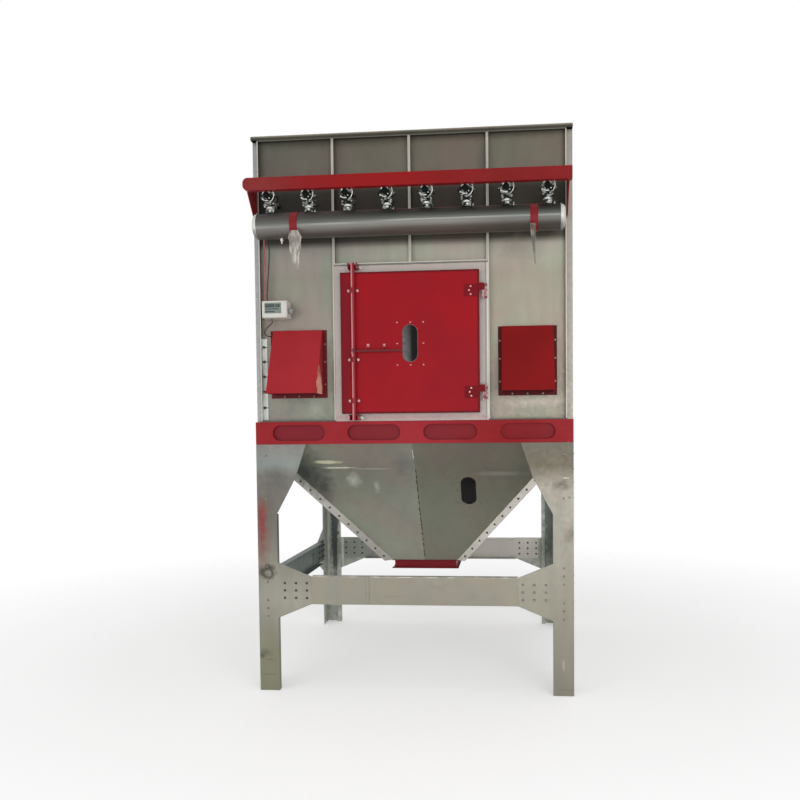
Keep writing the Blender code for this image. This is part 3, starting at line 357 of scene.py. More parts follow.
wall_zinc = galvanised(
    "galvanised_wall_sheet", [(0.0, "#a8a396"), (0.62, "#a39d91"), (0.80, "#9a958b"), (1.0, "#8b867d")],
    tints=FAINT_TINTS, marks=upright(
        FRONT, 0.12,
        (-0.98, 2.6, 0.05, 1.6, "#9b9e9e", 0.85, 0.4),
        (0.98, 2.6, 0.05, 1.6, "#a19b92", 0.85, 0.4)))
# The dark band in these tones, from under the tank up past the rail, is painted shadow of tank and rail
# The dark marks under the roof and behind the left valve are painted shade
# The paler band just below it is painted light, and across makes the pans paler to the right as painted light
pan_zinc = galvanised(
    "galvanised_front_pan", [
        (0.45, "#9e9a93"), (0.60, "#a19c94"), (0.75, "#a29d94"), (0.772, "#ada9a2"), (0.80, "#b3afaa"),
        (0.812, "#5b5650"), (0.86, "#413c37"), (0.90, "#443f3a"), (0.93, "#77716a"), (0.965, "#736e66"),
        (0.985, "#746f66"), (1.0, "#5b5851")],
    across=[(0.0, "#dadcde"), (0.25, "#e4e6e7"), (0.45, "#f0eeed"), (1.0, "#f8f6f3")],
    tints=SLOW_TINTS, streaks=0.26, pans=True, marks=upright(
        SHEET_FACE, 0.1,
        (-0.62, 1.80, 0.05, 0.09, "#a9aea8", 0.25, 0.8),
        (-0.54, 1.80, 0.03, 0.09, "#76776f", 0.6, 0.8),
        (-0.78, 1.79, 0.05, 0.07, "#787a72", 0.5, 0.8),
        (0.76, 1.835, 0.24, 0.045, "#d8cdc2", 0.36, 0.95),
        (-0.52, 3.47, 0.65, 0.05, "#45433c", 0.45, 0.8),
        (0.50, 3.475, 0.65, 0.04, "#4d4a43", 0.40, 0.8),
        (0.45, 3.30, 0.05, 0.24, "#55514a", 0.5, 0.9),
        (0.66, 2.76, 0.20, 0.12, "#8d877a", 0.6, 0.9),
        (-0.74, 3.10, 0.10, 0.10, "#2f312d", 0.7, 0.9)))
# The roof's edge is dark with painted shade under its pale top
roof_zinc = galvanised(
    "galvanised_roof_sheet", [(0.0, "#8f8b82"), (0.985, "#37342d"), (0.999, "#423f37"), (1.0, "#9a958b")],
    tints=SLOW_TINTS, clouds=0.60, streaks=0.5)
# The pale line down the right post is a painted highlight; the dark lines beside it, down the left edge and
# along the top are painted shade
frame_zinc = galvanised(
    "galvanised_door_frame", [(0.0, "#a49994"), (0.75, "#a39994"), (0.77, "#ada29c"), (1.0, "#ada29c")],
    streaks=0.12, clouds=0.10, marks=upright(
        FRONT, 0.1,
        (0.4795, 2.2, 0.007, 1.2, "#c9ccc4", 0.9, 0.5),
        (0.4660, 2.2, 0.005, 1.2, "#6f7068", 0.6, 0.5),
        (-0.4825, 2.2, 0.004, 1.2, "#716c68", 0.8, 0.5),
        (0.0, 2.696, 1.6, 0.008, "#5d615b", 0.85, 0.4),
        (0.0, 1.745, 0.9, 0.022, "#a07a7e", 0.5, 0.7)))
# On the hopper the pale hip flange tones are painted light, and the thin pale streaks near the top left are
# painted reflections
hopper_zinc = galvanised(
    "galvanised_hopper_plate", [
        (0.0, "#9e9e95"), (0.21, "#9c9c93"), (0.33, "#96968d"), (0.40, "#87867e"), (0.45, "#87847c")],
    across=[(0.0, "#fdfffb"), (0.497, "#ffffff"), (0.503, "#dedcd8"), (0.80, "#d2cec8"), (1.0, "#cfc9c3")],
    tints=("#f4fbf2", "#fbf0ee"), clouds=0.34, rough=(0.30, 0.46), flanges=("#bebab3", "#f3eee6"),
    marks=upright(
        -0.6, 1.0,
        (-0.74, 1.40, 0.20, 0.17, "#37423e", 0.9, 0.9),
        (-0.63, 1.285, 0.10, 0.12, "#434d48", 0.7, 0.9)) + upright(
        -0.7, 1.0,
        (-0.88, 1.43, 0.17, 0.17, "#747c75", 0.7, 0.9),
        (-0.575, 1.462, 0.115, 0.014, "#d2d0b2", 0.85, 0.6),
        (-0.50, 1.4235, 0.13, 0.007, "#d6d6c6", 0.85, 0.5),
        (-0.27, 1.4155, 0.17, 0.005, "#a9a99b", 0.7, 0.6)) + upright(
        -0.6, 1.0,
        (-0.42, 1.338, 0.06, 0.055, "#c9cac2", 0.7, 0.9),
        (-0.27, 1.292, 0.024, 0.05, "#bdbeb2", 0.65, 0.9),
        (0.55, 1.38, 0.20, 0.02, "#a09c95", 0.4, 0.9)) + upright(
        -0.7, 1.0,
        (-0.088, 1.445, 0.085, 0.10, "#6b6866", 0.65, 0.9),
        (-0.10, 1.17, 0.08, 0.16, "#87877f", 0.6, 0.9)))
leg_zinc = galvanised(
    "galvanised_leg_plate", [
        (0.0, "#868175"), (0.17, "#908d80"), (0.30, "#98958a"), (0.37, "#9a9489"), (0.41, "#696354"),
        (0.45, "#69645a")], **PLATE, marks=upright(
        FRONT, 0.02,
        (0.955, 1.36, 0.030, 0.006, "#cbc8bc", 0.7, 0.6),
        (0.925, 1.31, 0.024, 0.010, "#cfccc0", 0.6, 0.6),
        (0.975, 1.24, 0.012, 0.010, "#67645a", 0.7, 0.6),
        (0.965, 1.05, 0.03, 0.06, "#bab6aa", 0.5, 0.8),
        (0.935, 0.19, 0.012, 0.05, "#b9b5a8", 0.5, 0.8),
        (0.94, 0.039, 0.06, 0.003, "#6b675c", 0.6, 0.5),
        (0.925, 1.318, 0.07, 0.045, "#575047", 0.7, 0.8),
        (0.972, 1.027, 0.045, 0.07, "#6f675a", 0.7, 0.8)))
smeared_zinc = galvanised(
    "galvanised_leg_with_red_rub", [
        (0.0, "#81806d"), (0.07, "#82816d"), (0.17, "#949286"), (0.25, "#7d7b71"), (0.30, "#706b64"),
        (0.356, "#6b6861"), (0.393, "#6d6b64"), (0.413, "#7b827e"), (0.45, "#7c7873")], **PLATE,
    marks=upright(
        FRONT, 0.02,
        (-0.870, 1.36, 0.10, 0.12, "#52534e", 0.55, 0.9),
        (-0.915, 1.20, 0.05, 0.20, "#5b5953", 0.45, 0.9)) + upright(
        FRONT, 0.04,
        (-0.968, 1.01, 0.058, 0.27, "#7c4a45", 0.80, 0.9),
        (-0.975, 1.12, 0.042, 0.16, "#7f2827", 0.65, 0.9)) + upright(
        FRONT, 0.02,
        (-0.940, 0.765, 0.062, 0.060, "#3b3930", 0.85, 0.40),
        (-0.934, 0.757, 0.028, 0.028, "#918f82", 0.75, 0.6),
        (-0.985, 0.225, 0.026, 0.026, "#3f3e38", 0.85, 0.8),
        (-0.94, 0.200, 0.05, 0.010, "#6f6d5f", 0.6, 0.8),
        (-0.94, 0.104, 0.06, 0.003, "#5f5d51", 0.8, 0.5),
        (-0.965, 0.245, 0.05, 0.035, "#635f54", 0.7, 0.8)))
# The pale line along the top flange is a painted highlight
beam_zinc = galvanised(
    "galvanised_beam_plate", [(0.0, "#949184"), (0.2, "#938f84"), (0.25, "#8f8c82")],
    crystal=22 * MM, clouds=0.18, streaks=0.12, tints=("#f1f6f6", "#fffaf0"), marks=upright(
        FRONT, 0.02,
        (-0.13, 0.615, 0.08, 0.008, "#7b7565", 0.5, 0.8),
        (0.12, 0.65, 0.50, 0.2, "#88847a", 0.6, 0.9)) + upright(
        FRONT + 0.03, 0.1,
        (0.0, 0.746, 1.6, 0.012, "#e2dfd6", 0.9, 0.5)))
# The rear beam is painted paler than the front beam, as painted light
rear_zinc = galvanised(
    "galvanised_rear_beam_plate", [(0.0, "#c6c1bc"), (0.25, "#c4bfb8")], streaks=0.12,
    marks=upright(BACK, 0.2, (-0.72, 0.65, 0.34, 0.30, "#7c837c", 0.75, 0.6)))
side_beam_zinc = galvanised(
    "galvanised_side_beam_plate", [(0.0, "#757e7a"), (0.25, "#6f7874")], **OLD_PLATE, spangle=0.55)
# On the left rear leg the dark web is painted shade, and the pale strips beside it and at its edge are
# painted highlights
dull_zinc = galvanised(
    "galvanised_rear_leg_plate", [(0.0, "#a9aca3"), (0.25, "#a3a79e"), (0.46, "#989c94")], **OLD_PLATE,
    spangle=0.50, marks=upright(
        BACK, 0.1,
        (-0.922, 1.10, 0.046, 0.85, "#434c47", 0.85, 0.25),
        (-0.862, 1.00, 0.018, 0.80, "#dfe2da", 0.9, 0.5),
        (-0.985, 1.00, 0.015, 0.80, "#cfd2ca", 0.9, 0.5)) + upright(
        BACK - 0.20, 0.5,
        (-1.0, 1.0, 0.012, 1.4, "#d3d6cf", 0.85, 0.4)) + upright(
        BACK, 0.1,
        (0.95, 1.05, 0.09, 0.80, "#59635e", 0.8, 0.6)))
# The tank ends are paler than the pipe as a painted highlight, and the dark marks low on them are painted
# shade
cap_zinc = galvanised(
    "galvanised_tank_end", [(0.0, "#d0d0ca"), (0.83, "#d0d0ca")], crystal=9 * MM, marks=upright(
        TANK_Y, 0.3,
        (-0.93, TANK_Z - 0.075, 0.06, 0.055, "#5b564f", 0.85, 0.8),
        (0.93, TANK_Z - 0.075, 0.06, 0.065, "#55504a", 0.85, 0.8)))
strip_zinc = galvanised("galvanised_edge_angle", [(0.0, "#ccd1cc"), (1.0, "#ccd1cc")], streaks=0.30)
# Painted light round the tank: a bright painted highlight band, with painted shade above and below it
tank_zinc = drawn_pipe("galvanised_tank_pipe", [
    (0.0, "#5f5852"), (0.06, "#6a635d"), (0.11, "#57514b"), (0.18, "#57504a"), (0.25, "#67605a"),
    (0.325, "#716d69"), (0.405, "#767571"), (0.45, "#7f817c"), (0.475, "#95978f"), (0.50, "#72746f"),
    (0.56, "#5b5f5a"), (0.65, "#484a45"), (0.75, "#34342f"), (0.89, "#322f2c"), (1.0, "#413e39")], 0.42)

# The door leaf's edges get painted shade
door_red = powder_coat(
    "door_powder_coat", "#9f151e", "#921622", shine=0.10,
    border=(("X", DOOR_LOW.x, DOOR_HIGH.x), ("Z", DOOR_LOW.z, DOOR_HIGH.z)),
    marks=upright(DOOR_FACE, 1.0, (-0.412, 2.2, 0.050, 1.0, "#6f151e", 0.75, 0.6)))
# Slots in the belts get painted shade
belt_red = powder_coat(
    "belt_powder_coat", "#a0272f", "#911e24", recess=("Y", MIDDLE, MIDDLE - FRONT, 13 * MM),
    recess_hex="#7d2029", marks=upright(FRONT, 0.1, (0.62, 1.63, 0.55, 0.3, "#860c11", 0.8, 0.9)))
side_belt_red = powder_coat("side_belt_powder_coat", "#96232b", "#861d22", recess=("X", 0.0, HALF, 13 * MM))
rail_red = powder_coat("rail_powder_coat", "#8c2023", "#7d1a1a", marks=upright(
    -1.0, 0.3,
    (-0.15, 3.14, 0.62, 0.3, "#991315", 0.75, 0.9),
    (-0.88, 3.12, 0.28, 0.3, "#8d3a3a", 0.55, 0.9)))
# The hoods share one paint: the left is a painted-light copy with a pale painted reflection on its right side
lit_hood_red = powder_coat(
    "left_hood_powder_coat", "#aa2a31", "#a0252d", recess=HOOD_RECESS, recess_hex="#561a1f",
    marks=upright(-0.868, 0.082, (-0.560, 1.87, 0.012, 0.22, "#ffb9a8", 0.97, 0.40)))
# The right hood is a painted-shade copy of the same paint
shaded_hood_red = powder_coat("right_hood_powder_coat", "#8b1114", "#7d0e11", recess=HOOD_RECESS,
                       recess_hex="#480c11")
lock_red = powder_coat("lock_powder_coat", "#8d1d27", "#75161e", gloss=(0.30, 0.45), shine=0.2)
hinge_red = powder_coat("hinge_powder_coat", "#80141d", "#6a1017", gloss=(0.40, 0.55), shine=0.1)
# The pale stripe down the rod's front is a painted highlight, and the dark mark on the handle is painted
# shade
rod_red = powder_coat(
    "rod_powder_coat", "#98202b", "#821a22", gloss=(0.28, 0.40), shine=0.25, highlight_way=(-0.28, -0.96, 0.0),
    marks=upright(DOOR_FACE, 1.0, (-0.19, BELT_TOP + 0.432, 0.20, 0.03, "#5c0e15", 0.95, 0.3)))
# A pale copy of the red paint for the handle clips: painted highlights
highlit_red = powder_coat("pale_highlight_powder_coat", "#c4686c", "#9a2b33")
# Pale pink patches on dark red for the hinge posts: painted highlights
highlit_post = moulded("hinge_post_painted_highlights", "#e0b6b2", "#6c2429", 16, 0.45)

bolt_zinc = plain_metal("zinc_plated_bolts", "#e2ddd2", "#b9b4a8", 6, 0.30)
flange_bolt = plain_metal("dull_flange_bolts", "#a08a86", "#6e4f4d", 6, 0.40)
dark_bolt = plain_metal("weathered_bolts", "#5e5b55", "#3e3b37", 6, 0.45)
faint_bolt = plain_metal("galvanised_bolts", "#8d897e", "#68655b", 6, 0.45)
pink_bolt = plain_metal("bolts_brushed_with_red", "#e6b4b0", "#c98e8c", 6, 0.45, metallic=0.3)
# The pale patches on the dark alloy are painted highlights
cast_alloy = plain_metal("die_cast_aluminium", "#a9ada7", "#1d2420", 24, 0.42, relief=0.3,
                         edges=(0.46, 0.58))
# For the valves' nuts, and for the bright arcs that are painted highlights
bright_alloy = plain_metal("machined_aluminium_and_glints", "#f0f0ec", "#b9bbb7", 16, 0.42, metallic=0.5)
seam_black = plain_metal("burnt_weld_stitches", "#35322e", "#1d1b19", 6, 0.5)
box_plastic = moulded("off_white_abs", "#dcd9d3", "#cfccc6", 2, 0.42)
conduit_plastic = moulded("red_pvc_conduit", "#ad6c6e", "#8f5355", 12, 0.45)
lead_plastic = moulded("dark_pvc_lead", "#4b2c2e", "#33201f", 6, 0.5)
coil_plastic = moulded("black_coil_moulding", "#1b211d", "#0c0f0d", 2.5, 0.85, shine=0.08)
grey_plastic = moulded("grey_polyamide", "#a3a5a1", "#6f716e", 9, 0.45)
screen_glass = moulded("lcd_window", "#7e8c86", "#74817c", 8, 0.15, relief=0.0)
screen_dark = moulded("lcd_segments_off", "#47514d", "#3e4844", 8, 0.2, relief=0.0)
rubber = moulded("epdm_rubber", "#231f1e", "#181615", 3, 0.6)
rim_rubber = moulded("dusty_rubber_rim", "#8a6461", "#5b3c3a", 9, 0.5)
door_glass = dusty_glass("door_float_glass", "#0d0c0c", "#8e908c", -0.050, 0.012, 2.09, 2.31)
hopper_glass = dusty_glass("hopper_float_glass", "#0a0808", "#1c1918", 0.28, 0.40, 1.1, 1.4)
wrap_film = thin_film("torn_polythene_wrap", "#c6c2b7", "#97928a")
dusty_film = thin_film("dusty_polythene_wrap", "#7d7c72", "#454a42")

# Finish, width of the eased edges in mm, and CAD nodes
DRESS = (
    (pan_zinc, 0.8, "front_panel_left front_panel_right upper_panel_left upper_panel_right"),
    (wall_zinc, 0.8, "left_wall right_wall back_wall"),
    (roof_zinc, 0.8, "roof"),
    (frame_zinc, 0.8, "door_frame"),
    (hopper_zinc, 0, "front_hopper_plate rear_hopper_plate left_hopper_plate right_hopper_plate"),
    (leg_zinc, 0.8, "front_right_leg"),
    (smeared_zinc, 0.8, "front_left_leg"),
    (dull_zinc, 0.8, "rear_left_leg rear_right_leg"),
    (beam_zinc, 0.8, "front_beam"),
    (side_beam_zinc, 0.8, "left_beam right_beam"),
    (rear_zinc, 0.8, "rear_beam"),
    (belt_red, 1.2, "front_belt back_belt"),
    (side_belt_red, 1.2, "left_belt right_belt"),
    (lock_red, 1.2, "discharge_flange"),
    (rail_red, 1.0, "guard_rail left_rail_bracket right_rail_bracket"),
    (door_red, 1.2, "door_leaf"),
    (lit_hood_red, 1.0, "left_inlet_hood"),
    (shaded_hood_red, 1.0, "right_inlet_hood"),
    (lock_red, 0, "lower_rod_guide middle_rod_guide upper_rod_guide lower_rod_keeper upper_rod_keeper"),
    (lock_red, 0, "left_tank_strap right_tank_strap"),
    (hinge_red, 0, "lower_hinge_door_strap upper_hinge_door_strap"),
    (highlit_post, 0, "lower_hinge_frame_post upper_hinge_frame_post"),
    (rod_red, 0, "lock_rod"),
    (tank_zinc, 0, "air_tank_shell"),
    (cap_zinc, 0, "left_tank_end right_tank_end"),
    (cast_alloy, 0, " ".join("pulse_valve_%d" % (i + 1) for i in range(8))),
    (box_plastic, 0, "control_box"),
    (conduit_plastic, 0, "valve_conduit"),
    (door_glass, 0, "door_window_glass"),
    (hopper_glass, 0, "hopper_window_glass"))


def dress_nodes():
    """Give the CAD nodes their finish, and ease their folded or cut edges."""
    for material, edge, names in DRESS:
        for name in names.split():
            made = nodes[name]
            made.material_slots[0].material = material
            if edge:
                joined = made.modifiers.new("joined", "WELD")
                joined.merge_threshold = 0.02 * MM
                eased = made.modifiers.new("eased_edges", "BEVEL")
                eased.width = edge * MM
                eased.segments = 2
                eased.limit_method = "ANGLE"
                eased.angle_limit = math.radians(40)
                eased.harden_normals = True


dress_nodes()


# Making pieces


def place(name, data):
    """New object in the scene."""
    made = bpy.data.objects.new(name, data)
    bpy.context.scene.collection.objects.link(made)
    return made


def piece(name, bm, material, body="housing", slot=None, crease=35):
    """Object from a mesh drawn in place, riding on a body, with edges sharper than the crease kept."""
    mesh = bpy.data.meshes.new(name)
    bmesh.ops.recalc_face_normals(bm, faces=bm.faces)
    bm.to_mesh(mesh)
    bm.free()
    for face in mesh.polygons:
        face.use_smooth = True
    mesh.set_sharp_from_angle(angle=math.radians(crease))
    made = place(name, mesh)
    made.data.materials.append(material)
    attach(made, body)
    return made


def meshes(count):
    """So many empty meshes."""
    return [bmesh.new() for _ in range(count)]


def near(spot, x=0, y=0, z=0):
    """Place so many millimetres from a spot."""
    return Vector(spot) + Vector((x, y, z)) * MM


def clock(turn):
    """Direction in the front's plane, turned from the right."""
    return Vector((math.cos(turn), 0, math.sin(turn)))


def aim(spot, axis):
    """Matrix that stands a shape drawn along Z at spot, pointing along axis."""
    return Matrix.Translation(spot) @ Vector(axis).to_track_quat("Z", "Y").to_matrix().to_4x4()


def skin(bm, rings, capped=True):
    """Faces between rings of points, and over the first and last ring."""
    for low, high in zip(rings, rings[1:]):
        for step in range(len(low)):
            after = (step + 1) % len(low)
            bm.faces.new((low[step], low[after], high[after], high[step]))
    if capped:
        bm.faces.new(rings[0][::-1])
        bm.faces.new(rings[-1])


def turned_part(bm, at, profile, sides=24):
    """Turn (radius, height) points in mm about Z; a closed profile makes a solid ring or plug."""
    turns = [TURN * step / sides for step in range(sides)]
    skin(bm, [[bm.verts.new(at @ (Vector((radius * math.cos(t), radius * math.sin(t), height)) * MM))
               for t in turns] for radius, height in profile])


def bolt(bm, spot, axis, across, head, spin=0.0):
    """Hexagon bolt head with a turned chamfer on a flat washer; sizes in mm."""
    at = aim(spot, axis) @ Matrix.Rotation(spin, 4, "Z")
    washer, radius, thick = across * 0.66, across / math.sqrt(3), 2.2
    turned_part(bm, at, [(washer, 0), (washer, 1.6), (washer * 0.94, thick)], 16)
    turned_part(bm, at, [(radius, thick), (radius, thick + head * 0.8), (radius * 0.84, thick + head)], 6)


def screw(bm, spot, axis, width):
    """Low round screw head with a socket; its width in mm."""
    turned_part(bm, aim(spot, axis), [(width / 2, 0), (width / 2, 1.5), (width * 0.36, 3.4),
                                      (width * 0.20, 3.8), (width * 0.17, 2.0)], 12)


def bar(bm, low, high, round_off=1.0):
    """Box with its edges eased by so many mm."""
    made = bmesh.ops.create_cube(bm, size=1.0)
    size = [b - a for a, b in zip(low, high)]
    middle = [(a + b) / 2 for a, b in zip(low, high)]
    bmesh.ops.scale(bm, vec=size, verts=made["verts"])
    bmesh.ops.translate(bm, vec=middle, verts=made["verts"])
    edges = list({edge for vert in made["verts"] for edge in vert.link_edges})
    bmesh.ops.bevel(bm, geom=edges, offset=min(round_off * MM, 0.4 * min(size)), segments=2, affect="EDGES")


def block(bm, spot, low, high, round_off=1.0):
    """Eased box between two corners, both in mm from a spot."""
    bar(bm, near(spot, *low), near(spot, *high), round_off)


def oval_points(width, height, steps=14):
    """Slot outline with round ends, long upright."""
    radius = width / 2
    reach = height / 2 - radius
    return [(radius * math.cos(turn), centre + radius * math.sin(turn))
            for centre, first in ((reach, 0), (-reach, math.pi))
            for turn in (first + math.pi * step / steps for step in range(steps + 1))]


def oval_ring(bm, at, width, height, rim, rise):
    """Raised rim round a slot: rim wide, rise high, eased at its outer edge. Drawn in XY, out along Z."""
    rings = []
    for out, lift in ((0, -rise * 0.2), (0, rise), (rim * 0.75, rise), (rim, rise * 0.6), (rim, 0)):
        rings.append([bm.verts.new(at @ Vector((x, y, lift)))
                      for x, y in oval_points(width + 2 * out, height + 2 * out)])
    skin(bm, rings + rings[:1], capped=False)


def rod_along(bm, points, radii, sides=10):
    """Round bar, wire or bead through the points, capped; one radius, or one for each point."""
    rings = []
    side = None
    if not isinstance(radii, list):
        radii = [radii] * len(points)
    for index, (spot, radius) in enumerate(zip(points, radii)):
        before, after = points[max(index - 1, 0)], points[min(index + 1, len(points) - 1)]
        way = (after - before).normalized()
        side = way.orthogonal() if side is None else side - way * side.dot(way)
        side.normalize()
        other = way.cross(side)
        rings.append([bm.verts.new(spot + radius * (math.cos(t) * side + math.sin(t) * other))
                      for t in (TURN * i / sides for i in range(sides))])
    skin(bm, rings)


# Legs, beams and hopper

JOINT_X = (0.685, 0.756, 0.828)
JOINT_Z = (0.600, 0.648, 0.695)
CORNER_X = 0.940
CORNER_Z = (0.480, 0.532, 0.583, 0.700, 0.750, 0.800)
HEAD_Z = (1.235, 1.332, 1.414, 1.510)
BEAM_SEAM_X = 0.283
WINDOW_SIZE = (95 * MM, 230 * MM)
GLASS_SIZE = [size - 4 * MM for size in WINDOW_SIZE]
HOPPER_WINDOW_X = 0.337
HOPPER_WINDOW_Z = 1.262


def joint_bolts():
    """Bolts that hold each leg's arms to the beams and each leg's head to the belt, with nuts inside."""
    dark, faint = meshes(2)
    rng = random.Random(4)
    across_y = (BACK - FRONT) / 2 - HALF
    inner = 2 * LEG_PLATE + 0.4 * MM
    for side in (-1, 1):
        out = RIGHT * side
        for face_y, way in ((FRONT, FRONT_WAY), (BACK, -FRONT_WAY)):
            for x in JOINT_X:
                for z in JOINT_Z:
                    bolt(dark if side < 0 else faint, (side * x, face_y, z), way, 12, 5, rng.uniform(0, 1))
                    bolt(dark, (side * x, face_y - way.y * inner, z), -way, 12, 8)
            for z in CORNER_Z + HEAD_Z:
                bolt(faint, (side * CORNER_X, face_y, z), way, 10, 4, rng.uniform(0, 1))
        for end in (-1, 1):
            for reach in JOINT_X:
                for z in JOINT_Z:
                    spot = Vector((side * HALF, MIDDLE + end * (reach + across_y), z))
                    bolt(faint, spot, out, 12, 5, rng.uniform(0, 1))
                    bolt(dark, spot - out * inner, -out, 12, 8)
            for z in CORNER_Z + HEAD_Z:
                bolt(faint, (side * HALF, MIDDLE + end * (CORNER_X + across_y), z), out, 10, 4,
                     rng.uniform(0, 1))
    piece("leg_and_beam_nuts", dark, dark_bolt, slot="zinc_fittings")
    piece("leg_and_beam_bolts", faint, faint_bolt, slot="zinc_fittings")


def weld_bead(bm, start, end, width, ripple=7 * MM):
    """Welded seam: overlapping ripples along a line."""
    start, end = Vector(start), Vector(end)
    length = (end - start).length
    count = max(3, int(length / ripple))
    rng = random.Random(int(length * 1000))
    radii = [width / 2 * (0.8 + 0.4 * (index % 2)) * rng.uniform(0.85, 1.1) for index in range(count + 1)]
    rod_along(bm, [start.lerp(end, i / count) for i in range(count + 1)], radii, 8)


def beam_welds():
    """Welded seam in the front and rear beam: a wide bead and a narrow one beside it."""
    bm = bmesh.new()
    low, high = BEAM_LOW.z + 3 * MM, BEAM_HIGH.z - 3 * MM
    for face_y, x in ((FRONT, -BEAM_SEAM_X), (BACK, BEAM_SEAM_X)):
        for shift, width in ((0.0, 1.8), (-22 * MM, 1.0)):
            weld_bead(bm, (x + shift, face_y, low), (x + shift, face_y, high), width * MM)
    piece("beam_weld_seams", bm, dark_bolt, slot="galvanised_frame")


def hip_places():
    """For each hip of the hopper: its foot, its way up, its way out, and its way to the front or back."""
    run_x, run_y = HOPPER_TOP_HALF.x - OUTLET_HALF, HOPPER_TOP_HALF.y - OUTLET_HALF
    for side_x in (-1, 1):
        for side_y in (-1, 1):
            up = Vector((side_x * run_x, side_y * run_y, HOPPER_RISE))
            foot = Vector((side_x * OUTLET_HALF, MIDDLE + side_y * OUTLET_HALF, HOPPER_LOW.z))
            out_x = Vector((side_x * HOPPER_RISE, 0, -run_x)).normalized()
            out_y = Vector((0, side_y * HOPPER_RISE, -run_y)).normalized()
            out = (out_x + out_y).normalized()
            facing = up.normalized().cross(out)
            if facing.y * side_y < 0:
                facing.negate()
            yield foot, up, out, facing


def hopper_bolts():
    """Bolts along the flanges of the four hips, a head on one side and a nut on the other."""
    bm = bmesh.new()
    off = SHEET + 0.2 * MM
    for foot, up, out, facing in hip_places():
        count = int(up.length / HOPPER_PITCH)
        start = (up.length - (count - 1) * HOPPER_PITCH) * 0.55
        for index in range(count):
            spot = foot + up.normalized() * (start + HOPPER_PITCH * index) + out * HIP_BOLT_OUT
            bolt(bm, spot + facing * off, facing, 11, 5, index * 0.3)
            bolt(bm, spot - facing * off, -facing, 11, 7, index * 0.2)
    piece("hopper_flange_bolts", bm, dark_bolt, slot="zinc_fittings")


def hopper_slope(x, z):
    """Matrix on the front hopper plate at (x, z): X along the plate, Y up it, Z out of it."""
    run = HOPPER_TOP_HALF.y - OUTLET_HALF
    y = MIDDLE - OUTLET_HALF - run * (z - HOPPER_LOW.z) / HOPPER_RISE
    up = Vector((0, -run, HOPPER_RISE)).normalized()
    return Matrix.Translation((x, y, z)) @ Matrix((RIGHT, up, RIGHT.cross(up))).transposed().to_4x4()


def hopper_window():
    """Rubber gasket round the pane in the front hopper plate, and the screws of its frame."""
    at = hopper_slope(HOPPER_WINDOW_X, HOPPER_WINDOW_Z)
    gasket, screws = meshes(2)
    oval_ring(gasket, at, *GLASS_SIZE, 5 * MM, 2 * MM)
    places = [(x, y) for x in (-0.075, 0.075) for y in (-0.11, 0.0, 0.11)] + [(0, -0.145), (0, 0.145)]
    for x, y in places:
        screw(screws, at @ Vector((x, y, 0)), at.to_3x3() @ UP, 8)
    piece("hopper_window_gasket", gasket, rubber, slot="control_plastic")
    piece("hopper_window_screws", screws, faint_bolt, slot="zinc_fittings")


def hopper_seam():
    """Stitch welds along the seam down the front plate's middle, and the bright tab at its top."""
    stitches, tab = meshes(2)
    rng = random.Random(12)
    sunk = Vector((0, 0, -0.5 * MM))
    z = HOPPER_LOW.z + 0.03
    while z < HOPPER_HIGH.z - 0.16:
        length = rng.uniform(0.018, 0.036)
        start = hopper_slope(rng.uniform(-2.4, 2.4) * MM, z) @ sunk
        end = hopper_slope(rng.uniform(-2.4, 2.4) * MM, z + length) @ sunk
        weld_bead(stitches, start, end, 6 * MM, 6 * MM)
        z += length + rng.uniform(0.006, 0.026)
    proud = Vector((0, 0, 1.5 * MM))
    rod_along(tab, [hopper_slope(-0.005, 1.484) @ proud, hopper_slope(-0.007, 1.540) @ proud], 4 * MM, 6)
    piece("hopper_seam_stitches", stitches, seam_black, slot="galvanised_sheet")
    piece("hopper_seam_tab", tab, bolt_zinc, slot="galvanised_sheet")


joint_bolts()
beam_welds()
hopper_bolts()
hopper_window()
hopper_seam()


# Walls, hoods and door frame

STRIP_BOLT_Z = (2.199, 2.107, 2.012, 1.916, 1.815)
HOOD_BOLTS = [(x, up) for x in (-0.170, 0.170) for up in (0.489, 0.378, 0.236)]
HOOD_BOLTS += [(x, 0.161) for x in (-0.095, 0.0, 0.095)]


def edge_strip():
    """Bolted angle that closes the left pan's outer edge beside the hood."""
    low = Vector((-0.9575, SHEET_FACE - 3.3 * MM, BELT_TOP + 12 * MM))
    high = Vector((-0.9275, SHEET_FACE - 0.3 * MM, BELT_TOP + 0.530))
    angle, bolts = meshes(2)
    bar(angle, low, high)
    bar(angle, (low.x, FRONT + 12 * MM, low.z), (low.x + 3 * MM, SHEET_FACE - 2 * MM, high.z))
    for z in STRIP_BOLT_Z:
        spot = (-0.947, low.y, z)
        bolt(bolts, spot, FRONT_WAY, 13, 9)
        block(bolts, spot, (2, -5, -2.5), (21, 0, 2))
    piece("left_edge_angle", angle, strip_zinc, slot="galvanised_sheet")
    piece("left_edge_bolts", bolts, dark_bolt, slot="zinc_fittings")


def hood_bolts():
    """Bolts through the flanges of both hoods."""
    bm = bmesh.new()
    for word in ("left", "right"):
        low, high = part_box(word + "_inlet_hood")
        for x, up in HOOD_BOLTS:
            spot = ((low.x + high.x) / 2 + x, SHEET_FACE - SHEET - 0.3 * MM, BELT_TOP + up)
            bolt(bm, spot, FRONT_WAY, 10, 5, x)
    piece("hood_flange_bolts", bm, flange_bolt, slot="zinc_fittings")


